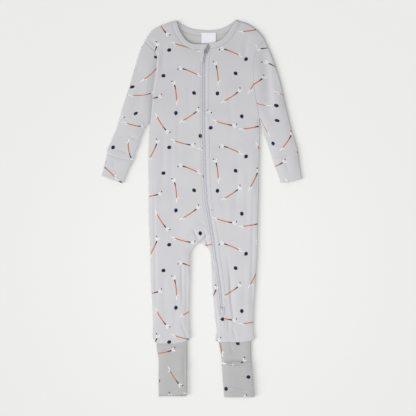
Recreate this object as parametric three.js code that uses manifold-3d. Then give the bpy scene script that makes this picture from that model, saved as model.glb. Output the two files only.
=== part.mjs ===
// Footed baby sleepsuit laid flat on its back: printed knit, with a zip from the neck into one leg,
// long sleeves with doubled cuffs, and fold-over feet.
// Millimetres. X runs across the garment, Y from the feet to the neck, Z up from the surface.
// The origin lies under the middle of the garment, on the surface that it rests on.

import * as THREE from "three";
import * as BufferGeometryUtils from "three/addons/utils/BufferGeometryUtils.js";
import Module from "manifold-3d";

const wasm = await Module();
wasm.setup();

// Driving sizes
const CLOTH = 1.4;
const SEAM_GAP = 0.3;
const LOFT = 6.4;
const CURVE_IN_FRONT = 24;
const CURVE_IN_BACK = 12;
const LOWEST_FRONT = 3.9;
const LOWEST_OVER_ZIP = 4.7;
const ZIP_REACH = 13;
const RISE_POWER = 2.2;
const EDGE_ROUND = 0.7;
const BINDING_WIDTH = 11;
const ZIP_TOP = 333;
const ZIP_END = -206;
const ZIP_LEAN = 0.12;
const TAPE = 1.0;
const TAPE_TOP_Y = 343;
const TAPE_END_Y = -220;
const TAPE_HIDDEN = 4;
const TAPE_LEAST = 0.6;
const TAPE_CLEAR = 5;
const TAPE_STEP = 0.2;
const COIL_HALF = 1.6;
const COIL_THICK = 1.9;
const COIL_TOP_Y = 321.5;
const COIL_END_Y = -205;
const MOUTH_DIP = 6;
const CLIMB_ABOVE_MOUTH = 14;
const CLIMB_LENGTH = 22;
const MID_HEIGHT = LOFT / 2;
const FRONT_AT_SEAM = MID_HEIGHT + SEAM_GAP / 2 + CLOTH;
const BACK_AT_SEAM = MID_HEIGHT - SEAM_GAP / 2 - CLOTH;
const LAYER = CLOTH + SEAM_GAP;

// Cells across and down each piece
const LEFT_COLUMNS = 12;
const STRIP_COLUMNS = 3;
const RIGHT_COLUMNS = 10;
const BACK_LEFT_COLUMNS = 8;
const BACK_RIGHT_COLUMNS = 9;
const ARMHOLE_ROWS = 11;
const TORSO_ROWS = 18;
const LEG_ROWS = 14;
const LEG_PACE = 1.6;
const ZIP_LEG_ROWS = 10;
const BACK_TORSO_ROWS = 9;
const BACK_LEG_ROWS = 11;
const SLEEVE_ROWS = 9;
const CUFF_ROWS = 3;
const SLEEVE_PACE = 1.5;
const BACK_HEM_GAP = 0.3;
const FOOT_COLUMNS = 10;
const FOOT_ROWS = 5;
const FLAP_ROWS = 6;
const SHOULDER_COLUMNS = 5;
const RIGHT_SHOULDER_COLUMNS = 4;
const BACK_NECK_COLUMNS = 9;
const ZIP_ROWS = 30;
const SIDE_FADE = 2.5;

// Share of the neck edge along which the binding turns from the shoulder's direction to its own
const TURN_SHARE = 0.2;

// Halvings in a search along an edge, and the distance within which two places are the same
const HALVINGS = 24;
const SAME_PLACE = 1e-5;
const SAME_CELL = 1e-9;

// A table with named columns: one object for each row
function table(columns, rows) {
  return rows.map((row) => Object.fromEntries(columns.map((name, i) => [name, row[i]])));
}

function points(rows) {
  return rows.map((row) => new THREE.Vector2(row.x, row.y));
}

function spline(rows) {
  return new THREE.SplineCurve(points(rows));
}

// Neck points, shoulder points and underarm points, seen from above
const neckLeft = { x: -53, y: 394 };
const neckRight = { x: 71, y: 395 };
const shoulderLeft = { x: -119.3, y: 349.8 };
const shoulderRight = { x: 132.1, y: 353.1 };
const underarmLeft = { x: -107.8, y: 183 };
const underarmRight = { x: 120.8, y: 189 };
const crotch = { x: -4.6, y: -71.5 };
const hipLeft = { x: -107.8, y: crotch.y };
const hipRight = { x: 116.4, y: crotch.y };

// Neck edge of the front on each side of the zip, and of the back
const frontNeckLeft = spline([neckLeft, ...table(["x", "y"], [
  [-47.9, 377.1],
  [-40.3, 363],
  [-30.9, 351.6],
  [-18, 345.4],
  [5.2, 344.4],
])]);
const frontNeckRight = spline([neckRight, ...table(["x", "y"], [
  [66.5, 387],
  [60.1, 376.6],
  [53.3, 366.4],
  [44.1, 356.3],
  [30, 349.2],
  [14.8, 345.6],
])]);
const backNeck = spline([neckLeft, ...table(["x", "y"], [
  [-35.7, 382.5],
  [-19.7, 376.4],
  [0, 373.8],
  [22, 373.7],
  [41.2, 377.5],
  [58.2, 385.9],
]), neckRight]);

// Shoulder line from the shoulder point up to the neck binding
const shoulderLineLeft = table(["x", "y"], [
  [-109.4, 364.6],
  [-100.8, 374.3],
  [-84.8, 382.6],
]);
const shoulderLineRight = table(["x", "y"], [
  [121.2, 367.4],
  [109.2, 378],
  [94.3, 386.7],
]);

// Armhole seam from the shoulder point down to the underarm
const armholeLeft = spline([shoulderLeft, ...table(["x", "y"], [
  [-108.6, 341.1],
  [-97.5, 327],
  [-93.4, 311],
  [-96.4, 280],
  [-101, 240],
  [-105.4, 205],
]), underarmLeft]);
const armholeRight = spline([shoulderRight, ...table(["x", "y"], [
  [119.4, 338.5],
  [111.6, 317],
  [108.8, 290],
  [109, 264],
  [112.2, 238],
  [117.4, 211],
]), underarmRight]);

// Side seam from the underarm to the leg hem
const sideLeft = spline([underarmLeft, ...table(["x", "y"], [
  [-110.5, 137.4],
  [-111.3, 100],
  [-110.5, 47],
  [-110.3, -22],
]), hipLeft]);
const sideRight = spline([underarmRight, ...table(["x", "y"], [
  [121, 148],
  [119.7, 87],
  [118.7, 26],
  [117.6, -22],
]), hipRight]);
const legOuterLeft = spline([hipLeft, ...table(["x", "y"], [
  [-107, -102],
  [-105.4, -163],
  [-103, -200],
  [-101.4, -240],
  [-102.6, -271],
])]);
const legOuterRight = spline([hipRight, ...table(["x", "y"], [
  [115.5, -102],
  [112.4, -154],
  [109.4, -195],
  [107.6, -248],
  [110.4, -274],
])]);

// Inner leg seam from the crotch to the leg hem
const legInnerLeft = spline([crotch, ...table(["x", "y"], [
  [-10.5, -74.2],
  [-16.5, -80],
  [-21.6, -88],
  [-24, -100],
  [-25.4, -150],
  [-26.6, -190],
  [-26.2, -240],
  [-24.2, -272],
])]);
const legInnerRight = spline([crotch, ...table(["x", "y"], [
  [1.8, -74.2],
  [8.6, -78.6],
  [15, -85],
  [18.6, -95],
  [20.4, -112],
  [22.7, -162],
  [25.2, -192],
  [28.4, -232],
  [32.2, -256],
  [28.6, -275],
])]);

// Zip opening: the two folded panel edges beside the tape
const zipEdges = table(["y", "left", "right"], [
  [333.6, 5.2, 14.6],
  [320, 3.4, 12.4],
  [305, 1.2, 11.2],
  [260, 0.6, 11.1],
  [186, 0.6, 11.1],
  [110, 2.2, 12.6],
  [55, 3.8, 14.4],
  [15, 6.2, 17.4],
  [-22, 13, 23.6],
  [-62, 19.6, 30.4],
  [-102, 24.4, 35.2],
  [-130, 29.4, 39.8],
  [-160, 34.4, 43.8],
  [-190, 37.2, 46.2],
  [-206, 38.8, 47.4],
]);
const SEAM_TOP = { x: 43.6, y: -213 };
const SEAM_FOOT = { x: 55.2, y: -280.8 };

// Leg hems, where the leg gathers into the narrower foot
const hemLeft = table(["x", "y"], [
  [-102.6, -271],
  [-94.6, -283.2],
  [-75, -283.4],
  [-56.5, -283.2],
  [-42, -280.8],
  [-31, -277.4],
  [-24.2, -272],
]);
const hemRight = table(["x", "y"], [
  [28.6, -275],
  [36, -280.6],
  [55.2, -280.8],
  [82, -280.2],
  [102.5, -278],
  [110.4, -274],
]);

// Sleeves: outer and inner edge from the armhole to the cuff seam
const sleeveOuterLeft = spline([shoulderLeft, ...table(["x", "y"], [
  [-126.8, 334],
  [-132.5, 319.5],
  [-140, 293.5],
  [-148.5, 264.5],
  [-156.5, 238],
  [-165, 212],
  [-173.5, 181],
  [-181, 160],
  [-189.6, 139.3],
  [-197.2, 124],
  [-197.8, 114.6],
])]);
const sleeveInnerLeft = spline(table(["x", "y"], [
  [-108.1, 183],
  [-120.5, 167],
  [-127.5, 149],
  [-133, 132],
  [-140, 116],
  [-143.4, 101],
]));
const sleeveOuterRight = spline([shoulderRight, ...table(["x", "y"], [
  [140.7, 334.2],
  [148.4, 315.5],
  [157, 291],
  [163.4, 270],
  [169.5, 245],
  [174.4, 222],
  [180, 199],
  [184.6, 179],
  [190.2, 159],
  [197, 136],
  [201.6, 120.6],
])]);
const sleeveInnerRight = spline(table(["x", "y"], [
  [121.1, 189],
  [126.8, 167],
  [134.6, 145],
  [141.3, 125.3],
  [146.8, 107],
]));

// Cuffs: the seam on the sleeve and the folded end
const cuffLeft = {
  seamOuter: { x: -197.8, y: 114.6 },
  seamInner: { x: -143.4, y: 101 },
  sag: -3,
  endOuter: { x: -209.6, y: 68.6 },
  endInner: { x: -165.2, y: 52.6 },
  outer: [{ x: -200.8, y: 99 }, { x: -205.8, y: 81 }],
  inner: [{ x: -153.4, y: 83.4 }, { x: -160.4, y: 66.4 }],
  endSag: -0.6,
};
const cuffRight = {
  seamOuter: { x: 201.6, y: 120.6 },
  seamInner: { x: 146.8, y: 107 },
  sag: -3,
  endOuter: { x: 209.8, y: 62 },
  endInner: { x: 164.8, y: 53.4 },
  outer: [{ x: 203.4, y: 103 }, { x: 206.6, y: 80 }],
  inner: [{ x: 155.8, y: 81.4 }, { x: 162.6, y: 62.8 }],
  endSag: -2,
};

// Feet: the outline of each foot from the hem to the toe fold
const feet = {
  left: {
    mouth: -320,
    toe: -392.6,
    outer: [{ x: -93.4, y: -298 }, { x: -90, y: -318 }, { x: -90.2, y: -350 }, { x: -90, y: -390 }],
    inner: [{ x: -30.4, y: -298 }, { x: -30.6, y: -318 }, { x: -30.9, y: -350 }, { x: -31, y: -390 }],
  },
  right: {
    mouth: -320,
    toe: -395.2,
    outer: [{ x: 103.2, y: -298 }, { x: 104, y: -318 }, { x: 106.8, y: -350 }, { x: 110.4, y: -391 }],
    inner: [{ x: 38.6, y: -298 }, { x: 42, y: -318 }, { x: 44, y: -355 }, { x: 47.4, y: -391 }],
  },
};

// Soft folds pressed into the front, each a trough along a bowed line.
// Seen along the line from its first end, far is its width on the left and near is the one on the right.
const folds = table(["x1", "y1", "x2", "y2", "bow", "near", "far", "height"], [
  [-94.4, 318, -107, 186, 3, 9, 3, -2.7],
  [121, 346, 130, 190, 3, 9, 8, -1.7],
  [-77, 346, -84, 268, 2, 9, 8, -1.3],
  [-108, 356, -86, 330, 0, 8, 8, -0.9],
  [98, 362, 89, 302, 3, 9, 9, -0.9],
  [-43, -92, -41, -190, 1.5, 4, 5, -1.8],
  [-100, 40, -98, -220, 1, 3, 4, -0.9],
  [-3, -72, 10, -58, 0, 3, 3, -1.4],
  [-28, -60, 6, -45, -2, 4, 4, -1.1],
  [11, -50, 20, -94, 1, 3, 3, -1.6],
  [61, -118, 69, -244, 4, 3, 5, -1.9],
  [54, -222, 57, -270, 0, 3, 4, -1.1],
  [-62, 150, -57, -30, 4, 8, 8, -0.8],
  [73, 125, 66, -40, -4, 9, 9, -0.8],
  [-83, 160, -86, 20, -3, 7, 8, -0.6],
  [107, 40, 103, -214, 0, 3, 4, -0.8],
  [-77, -100, -74, -250, 3, 7, 7, -0.7],
  [88, -112, 86, -262, -2, 7, 7, -0.7],
]);

// Distance from a point to a piece of line, and how far along it the nearest point lies
function nearest(x, y, a, b) {
  const dx = b.x - a.x;
  const dy = b.y - a.y;
  const along = THREE.MathUtils.clamp(((x - a.x) * dx + (y - a.y) * dy) / (dx * dx + dy * dy), 0, 1);
  return { gap: Math.hypot(x - a.x - along * dx, y - a.y - along * dy), along };
}

// Edges where the front and the back come together
const closedEdges = [
  [neckLeft, ...[...shoulderLineLeft].reverse(), ...sleeveOuterLeft.points, ...cuffLeft.outer,
    cuffLeft.endOuter],
  [cuffLeft.endInner, ...[...cuffLeft.inner].reverse(), ...[...sleeveInnerLeft.points].reverse(),
    ...sideLeft.points, ...legOuterLeft.points, hemLeft[1], ...feet.left.outer],
  [crotch, ...legInnerLeft.points, hemLeft.at(-2), ...feet.left.inner],
  [neckRight, ...[...shoulderLineRight].reverse(), ...sleeveOuterRight.points, ...cuffRight.outer,
    cuffRight.endOuter],
  [cuffRight.endInner, ...[...cuffRight.inner].reverse(), ...[...sleeveInnerRight.points].reverse(),
    ...sideRight.points, ...legOuterRight.points, hemRight.at(-2), ...feet.right.outer],
  [crotch, ...legInnerRight.points, hemRight[1], ...feet.right.inner],
];

function edgeDistance(x, y) {
  let least = Infinity;
  for (const line of closedEdges) {
    for (let i = 1; i < line.length; i += 1) {
      if (line[i].x === line[i - 1].x && line[i].y === line[i - 1].y) continue;
      least = Math.min(least, nearest(x, y, line[i - 1], line[i]).gap);
    }
  }
  return least;
}

function rise(distance, reach) {
  const t = Math.min(distance / reach, 1);
  return 1 - (1 - t) ** RISE_POWER;
}

function foldHeight(x, y) {
  let sum = 0;
  for (const fold of folds) {
    const dx = fold.x2 - fold.x1;
    const dy = fold.y2 - fold.y1;
    const long = Math.hypot(dx, dy);
    const along = ((x - fold.x1) * dx + (y - fold.y1) * dy) / (long * long);
    if (along <= 0 || along >= 1) continue;
    const side = ((x - fold.x1) * dy - (y - fold.y1) * dx) / long - fold.bow * Math.sin(Math.PI * along);
    const width = side > 0 ? fold.near : fold.far;
    sum += fold.height * Math.exp(-((side / width) ** 2)) * Math.sqrt(Math.sin(Math.PI * along));
  }
  return sum;
}

// Heights of the cloth: top of the front layer, underside of the back layer
function frontTop(x, y) {
  const swell = (LOFT - FRONT_AT_SEAM) * rise(edgeDistance(x, y), CURVE_IN_FRONT);
  const lowest = Math.abs(x - zipMiddle(y)) < ZIP_REACH ? LOWEST_OVER_ZIP : LOWEST_FRONT;
  return Math.max(FRONT_AT_SEAM + swell + foldHeight(x, y), lowest);
}

function backUnder(x, y) {
  return BACK_AT_SEAM * (1 - rise(edgeDistance(x, y), CURVE_IN_BACK));
}

// A cloth wall: cells of stations, each with an outer and an inner point
class ClothWall {
  constructor() {
    this.stations = [];
    this.byPlace = new Map();
    this.cells = [];
  }

  index(station) {
    const key = station.outer.map((value) => value.toFixed(3)).join(",");
    if (!this.byPlace.has(key)) {
      this.byPlace.set(key, this.stations.length);
      this.stations.push(station);
    }
    return this.byPlace.get(key);
  }

  // Rows of stations: faces point outwards when rows run down the picture and columns to the right
  addRows(rows, turned = false) {
    for (let i = 1; i < rows.length; i += 1) {
      for (let j = 1; j < rows[i].length; j += 1) {
        const corners = [rows[i - 1][j - 1], rows[i][j - 1], rows[i][j], rows[i - 1][j]];
        if (turned) corners.reverse();
        this.cells.push(corners.map((corner) => this.index(corner)));
      }
    }
    return this;
  }

  geometry() {
    const count = this.stations.length;
    const faces = [];
    const edges = new Set();
    for (const cell of this.cells) {
      const ring = cell.filter((corner, i) => corner !== cell[(i + 1) % cell.length]);
      for (let k = 2; k < ring.length; k += 1) {
        faces.push(ring[0], ring[k - 1], ring[k]);
        faces.push(ring[k] + count, ring[k - 1] + count, ring[0] + count);
      }
      ring.forEach((corner, i) => edges.add(`${corner},${ring[(i + 1) % ring.length]}`));
    }
    for (const edge of edges) {
      const [a, b] = edge.split(",").map(Number);
      if (edges.has(`${b},${a}`)) continue;
      faces.push(b, a, a + count, b, a + count, b + count);
    }
    const places = [...this.stations.map((s) => s.outer), ...this.stations.map((s) => s.inner)];
    const geometry = new THREE.BufferGeometry();
    geometry.setAttribute("position", new THREE.Float32BufferAttribute(places.flat(), 3));
    geometry.setIndex(faces);
    geometry.computeVertexNormals();
    return geometry;
  }
}

// A four-sided patch between named edges: rows run from top to bottom, and the bow of each side
// fades quickly towards the middle
function patch(top, bottom, left, right) {
  return (u, v) => {
    const t = top(u);
    const b = bottom(u);
    const l = left(v);
    const r = right(v);
    const nearLeft = (1 - u) ** SIDE_FADE;
    const nearRight = u ** SIDE_FADE;
    const blend = (k) => (1 - v) * t[k] + v * b[k]
      + nearLeft * (l[k] - (1 - v) * top(0)[k] - v * bottom(0)[k])
      + nearRight * (r[k] - (1 - v) * top(1)[k] - v * bottom(1)[k]);
    return { x: blend("x"), y: blend("y") };
  };
}

function line(a, b) {
  return (t) => ({ x: a.x + (b.x - a.x) * t, y: a.y + (b.y - a.y) * t });
}

function along(curve) {
  return (t) => curve.getPointAt(t);
}

// One edge made of several, each with its own number of cells
function chain(parts) {
  const total = parts.reduce((sum, part) => sum + part.cells, 0);
  return (t) => {
    let done = t * total;
    for (const part of parts) {
      if (done <= part.cells + SAME_CELL) return part.edge(Math.min(done / part.cells, 1));
      done -= part.cells;
    }
    return parts.at(-1).edge(1);
  };
}

function reversed(edge) {
  return (t) => edge(1 - t);
}

function moved(edge, dx, dy) {
  return (t) => {
    const p = edge(t);
    return { x: p.x + dx, y: p.y + dy };
  };
}

function gridOf(shape, columns, rows, stationAt, pace = 1) {
  return Array.from({ length: rows + 1 }, (_, i) => Array.from({ length: columns + 1 }, (__, j) => {
    const p = shape(j / columns, (i / rows) ** pace);
    return stationAt(p.x, p.y);
  }));
}

function frontStation(x, y) {
  const top = frontTop(x, y);
  return { outer: [x, y, top], inner: [x, y, top - CLOTH] };
}

function backStation(x, y) {
  const under = backUnder(x, y);
  return { outer: [x, y, under], inner: [x, y, under + CLOTH] };
}

// Binding seam: the neck edge moved out by the width of the binding
function bindingSeam(neck, startWay, endWay) {
  return (t) => {
    const edge = neck.getPointAt(t);
    const tangent = neck.getTangentAt(t);
    const out = new THREE.Vector2(tangent.y, -tangent.x);
    if (out.y > 0) out.negate();
    const nearStart = Math.max(0, 1 - t / TURN_SHARE);
    const nearEnd = Math.max(0, 1 - (1 - t) / TURN_SHARE);
    out.lerp(startWay, nearStart);
    if (endWay) out.lerp(endWay, nearEnd);
    out.normalize();
    return { x: edge.x + BINDING_WIDTH * out.x, y: edge.y + BINDING_WIDTH * out.y };
  };
}

const alongShoulderLeft = new THREE.Vector2(-0.95, -0.31);
const alongShoulderRight = new THREE.Vector2(0.93, -0.36);
const seamFrontLeft = bindingSeam(frontNeckLeft, alongShoulderLeft);
const seamFrontRight = bindingSeam(frontNeckRight, alongShoulderRight);
const seamBack = bindingSeam(backNeck, alongShoulderLeft, alongShoulderRight);
const shoulderSeamLeft = along(spline([shoulderLeft, ...shoulderLineLeft, seamFrontLeft(0)]));
const shoulderSeamRight = along(spline([shoulderRight, ...shoulderLineRight, seamFrontRight(0)]));

// The zip's two folded panel edges at a height on the page
function zipAt(y) {
  const rows = zipEdges;
  let i = rows.findIndex((row) => row.y <= y);
  if (i < 0) i = rows.length - 1;
  if (i === 0) i = 1;
  const above = rows[i - 1];
  const below = rows[i];
  const t = THREE.MathUtils.clamp((above.y - y) / (above.y - below.y), 0, 1);
  const left = THREE.MathUtils.lerp(above.left, below.left, t);
  const right = THREE.MathUtils.lerp(above.right, below.right, t);
  return { left, right, middle: (left + right) / 2 };
}

function zipEdge(side, top, bottom) {
  return (t) => {
    const y = top.y + (bottom - top.y) * t;
    return { x: t === 0 ? top.x : zipAt(y)[side], y };
  };
}

function zipAndSeam(side, top) {
  const shift = side === "left" ? -SEAM_GAP / 2 : SEAM_GAP / 2;
  const reached = (row) => (row / LEG_ROWS) ** LEG_PACE;
  const zip = zipEdge(side, top, ZIP_END);
  const seam = line({ x: SEAM_TOP.x + shift, y: SEAM_TOP.y }, { x: SEAM_FOOT.x + shift, y: SEAM_FOOT.y });
  const join = line(zip(1), seam(0));
  return chain([
    { edge: zip, cells: reached(ZIP_LEG_ROWS) },
    { edge: join, cells: reached(ZIP_LEG_ROWS + 1) - reached(ZIP_LEG_ROWS) },
    { edge: seam, cells: 1 - reached(ZIP_LEG_ROWS + 1) },
  ]);
}

// Hem edge of a leg: first and last cell turn in towards the foot
function hemEdge(rows, cells) {
  const inside = spline(rows.slice(1, -1));
  return chain([
    { edge: line(rows[0], rows[1]), cells: 1 },
    { edge: along(inside), cells: cells - 2 },
    { edge: line(rows.at(-2), rows.at(-1)), cells: 1 },
  ]);
}

// Right hem, split at the seam that runs down from the zip
function hemRightPart(from, to, cells, cornerFirst) {
  const flat = line(from, to);
  return cornerFirst
    ? chain([{ edge: line(hemRight[0], hemRight[1]), cells: 1 }, { edge: flat, cells: cells - 1 }])
    : chain([{ edge: flat, cells: cells - 1 }, { edge: line(to, hemRight.at(-1)), cells: 1 }]);
}

// Pieces of the body
function frontLeftPanel() {
  const wall = new ClothWall();
  const cells = LEFT_COLUMNS + STRIP_COLUMNS;
  const top = chain([
    { edge: shoulderSeamLeft, cells: SHOULDER_COLUMNS },
    { edge: seamFrontLeft, cells: cells - SHOULDER_COLUMNS },
  ]);
  const zipTop = top(1);
  const underarm = line(underarmLeft, { x: zipAt(underarmLeft.y).left, y: underarmLeft.y });
  const crotchRow = chain([
    { edge: line(hipLeft, crotch), cells: LEFT_COLUMNS },
    { edge: line(crotch, { x: zipAt(crotch.y).left, y: crotch.y }), cells: STRIP_COLUMNS },
  ]);
  const yoke = patch(top, underarm, along(armholeLeft), zipEdge("left", zipTop, underarmLeft.y));
  const torso = patch(underarm, crotchRow, along(sideLeft), zipEdge("left", underarm(1), crotch.y));
  const leg = patch(line(hipLeft, crotch), hemEdge(hemLeft, LEFT_COLUMNS), along(legOuterLeft),
    along(legInnerLeft));
  const seamEnd = { x: SEAM_FOOT.x - SEAM_GAP / 2, y: SEAM_FOOT.y };
  const strip = patch(line(crotch, crotchRow(1)), hemRightPart(hemRight[1], seamEnd, STRIP_COLUMNS, true),
    along(legInnerRight), zipAndSeam("left", crotchRow(1)));
  wall.addRows(gridOf(yoke, cells, ARMHOLE_ROWS, frontStation));
  wall.addRows(gridOf(torso, cells, TORSO_ROWS, frontStation));
  wall.addRows(gridOf(leg, LEFT_COLUMNS, LEG_ROWS, frontStation, LEG_PACE));
  wall.addRows(gridOf(strip, STRIP_COLUMNS, LEG_ROWS, frontStation, LEG_PACE));
  return wall.geometry();
}

function frontRightPanel() {
  const wall = new ClothWall();
  const neckCells = RIGHT_COLUMNS - RIGHT_SHOULDER_COLUMNS;
  const top = chain([
    { edge: reversed(seamFrontRight), cells: neckCells },
    { edge: reversed(shoulderSeamRight), cells: RIGHT_SHOULDER_COLUMNS },
  ]);
  const underarm = line({ x: zipAt(underarmRight.y).right, y: underarmRight.y }, underarmRight);
  const crotchRow = line({ x: zipAt(crotch.y).right, y: crotch.y }, hipRight);
  const yoke = patch(top, underarm, zipEdge("right", top(0), underarmRight.y), along(armholeRight));
  const torso = patch(underarm, crotchRow, zipEdge("right", underarm(0), crotch.y), along(sideRight));
  const seamEnd = { x: SEAM_FOOT.x + SEAM_GAP / 2, y: SEAM_FOOT.y };
  const leg = patch(crotchRow, hemRightPart(seamEnd, hemRight.at(-2), RIGHT_COLUMNS, false),
    zipAndSeam("right", crotchRow(0)), along(legOuterRight));
  wall.addRows(gridOf(yoke, RIGHT_COLUMNS, ARMHOLE_ROWS, frontStation));
  wall.addRows(gridOf(torso, RIGHT_COLUMNS, TORSO_ROWS, frontStation));
  wall.addRows(gridOf(leg, RIGHT_COLUMNS, LEG_ROWS, frontStation, LEG_PACE));
  return wall.geometry();
}

function backPanel() {
  const wall = new ClothWall();
  const cells = BACK_LEFT_COLUMNS + BACK_RIGHT_COLUMNS;
  const shoulderCells = (cells - BACK_NECK_COLUMNS) / 2;
  const top = chain([
    { edge: shoulderSeamLeft, cells: shoulderCells },
    { edge: seamBack, cells: BACK_NECK_COLUMNS },
    { edge: reversed(shoulderSeamRight), cells: shoulderCells },
  ]);
  const underarm = line(underarmLeft, underarmRight);
  const crotchLeft = line(hipLeft, crotch);
  const crotchRight = line(crotch, hipRight);
  const crotchRow = chain([
    { edge: crotchLeft, cells: BACK_LEFT_COLUMNS },
    { edge: crotchRight, cells: BACK_RIGHT_COLUMNS },
  ]);
  const yoke = patch(top, underarm, along(armholeLeft), along(armholeRight));
  const torso = patch(underarm, crotchRow, along(sideLeft), along(sideRight));
  const legLeft = patch(crotchLeft, hemEdge(hemLeft, BACK_LEFT_COLUMNS), along(legOuterLeft),
    along(legInnerLeft));
  const legRight = patch(crotchRight, hemEdge(hemRight, BACK_RIGHT_COLUMNS), along(legInnerRight),
    along(legOuterRight));
  wall.addRows(gridOf(yoke, cells, ARMHOLE_ROWS, backStation), true);
  wall.addRows(gridOf(torso, cells, BACK_TORSO_ROWS, backStation), true);
  wall.addRows(gridOf(legLeft, BACK_LEFT_COLUMNS, BACK_LEG_ROWS, backStation, LEG_PACE), true);
  wall.addRows(gridOf(legRight, BACK_RIGHT_COLUMNS, BACK_LEG_ROWS, backStation, LEG_PACE), true);
  return wall.geometry();
}

// A flattened tube: its front and back shapes run from the left silhouette to the right one
function tubeRow(front, back, columns, topAt, underAt) {
  const inwards = (shape, atStart, by) => {
    const a = shape(atStart ? 0 : 1);
    const b = shape(atStart ? 1 / columns : 1 - 1 / columns);
    const p = line(a, b)(by / Math.hypot(b.x - a.x, b.y - a.y));
    return [p.x, p.y];
  };
  const edge = (atStart) => {
    const p = front(atStart ? 0 : 1);
    const z = (topAt(p.x, p.y) + underAt(p.x, p.y)) / 2;
    return { outer: [p.x, p.y, z], inner: [...inwards(front, atStart, CLOTH), z] };
  };
  const station = (shape, j, height, sign) => {
    const p = shape(j / columns);
    const z = height(p.x, p.y);
    if (j > 0 && j < columns) return { outer: [p.x, p.y, z], inner: [p.x, p.y, z - sign * CLOTH] };
    return {
      outer: [...inwards(shape, j === 0, EDGE_ROUND), z],
      inner: [...inwards(shape, j === 0, CLOTH + EDGE_ROUND), z - sign * CLOTH],
    };
  };
  const stations = [edge(true)];
  for (let j = 0; j <= columns; j += 1) stations.push(station(front, j, topAt, 1));
  stations.push(edge(false));
  for (let j = columns; j >= 0; j -= 1) stations.push(station(back, j, underAt, -1));
  stations.push(stations[0]);
  return stations;
}

function tube(shape, columns, rows, options = {}) {
  const { pace = 1, topAt = frontTop, underAt = backUnder, backGap = 0 } = options;
  const wall = new ClothWall();
  const rings = Array.from({ length: rows + 1 }, (_, i) => {
    const v = (i / rows) ** pace;
    const across = (u) => shape(u, v);
    const behind = moved(across, 0, -backGap * (1 - v));
    return tubeRow(across, behind, columns, topAt, underAt);
  });
  return wall.addRows(rings).geometry();
}

function bowed(a, b, sag) {
  return (t) => ({
    x: a.x + (b.x - a.x) * t,
    y: a.y + (b.y - a.y) * t + sag * Math.sin(Math.PI * t),
  });
}

function sleeveLeft() {
  const top = moved(along(armholeLeft), -SEAM_GAP, 0);
  const bottom = bowed(cuffLeft.seamOuter, cuffLeft.seamInner, cuffLeft.sag);
  const shape = patch(top, bottom, moved(along(sleeveOuterLeft), -SEAM_GAP, 0), along(sleeveInnerLeft));
  return tube(shape, ARMHOLE_ROWS, SLEEVE_ROWS, { pace: SLEEVE_PACE });
}

function sleeveRight() {
  const top = moved(reversed(along(armholeRight)), SEAM_GAP, 0);
  const bottom = bowed(cuffRight.seamInner, cuffRight.seamOuter, cuffRight.sag);
  const shape = patch(top, bottom, along(sleeveInnerRight), moved(along(sleeveOuterRight), SEAM_GAP, 0));
  return tube(shape, ARMHOLE_ROWS, SLEEVE_ROWS, { pace: SLEEVE_PACE });
}

function cuff(cut, leftToRight) {
  const outerEdge = along(spline([cut.seamOuter, ...cut.outer, cut.endOuter]));
  const innerEdge = along(spline([cut.seamInner, ...cut.inner, cut.endInner]));
  const top = leftToRight
    ? bowed(cut.seamOuter, cut.seamInner, cut.sag)
    : bowed(cut.seamInner, cut.seamOuter, cut.sag);
  const end = leftToRight
    ? bowed(cut.endOuter, cut.endInner, cut.endSag)
    : bowed(cut.endInner, cut.endOuter, cut.endSag);
  const sides = leftToRight ? [outerEdge, innerEdge] : [innerEdge, outerEdge];
  const shape = patch(top, end, ...sides);
  const below = (u, v) => {
    const p = shape(u, v);
    return { x: p.x, y: p.y - SEAM_GAP * (1 - v) };
  };
  return tube(below, ARMHOLE_ROWS, CUFF_ROWS);
}

// Feet: a tube below the leg hem, and a fold-over flap that closes its open end
function footShape(foot, hem, end) {
  const seam = moved(along(spline(hem.slice(1, -1))), 0, -SEAM_GAP);
  const [leftSide, rightSide] = foot === feet.left ? [foot.outer, foot.inner] : [foot.inner, foot.outer];
  const left = along(spline([seam(0), ...leftSide.slice(0, -1), { x: leftSide.at(-1).x, y: end }]));
  const right = along(spline([seam(1), ...rightSide.slice(0, -1), { x: rightSide.at(-1).x, y: end }]));
  return patch(seam, line(left(1), right(1)), left, right);
}

// The left flap lies under its foot, so the tube climbs over it
function liftOverFlap(y) {
  const t = THREE.MathUtils.clamp((feet.left.mouth + CLIMB_ABOVE_MOUTH - y) / CLIMB_LENGTH, 0, 1);
  return LAYER * t * t * (3 - 2 * t);
}

function footTube(foot, hem) {
  const lift = foot === feet.left ? liftOverFlap : () => 0;
  const shape = footShape(foot, hem, foot.toe + CLOTH + SEAM_GAP);
  return tube(shape, FOOT_COLUMNS, FOOT_ROWS, {
    topAt: (x, y) => frontTop(x, y) + lift(y),
    underAt: (x, y) => backUnder(x, y) + lift(y),
    backGap: BACK_HEM_GAP,
  });
}

// The lip of a flap turns outwards by a share of the wall, then up or down by a share of the foot
const lip = table(["out", "reach"], [
  [0.65, 0.12],
  [1, 0.4],
  [1, 1],
]);

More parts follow.
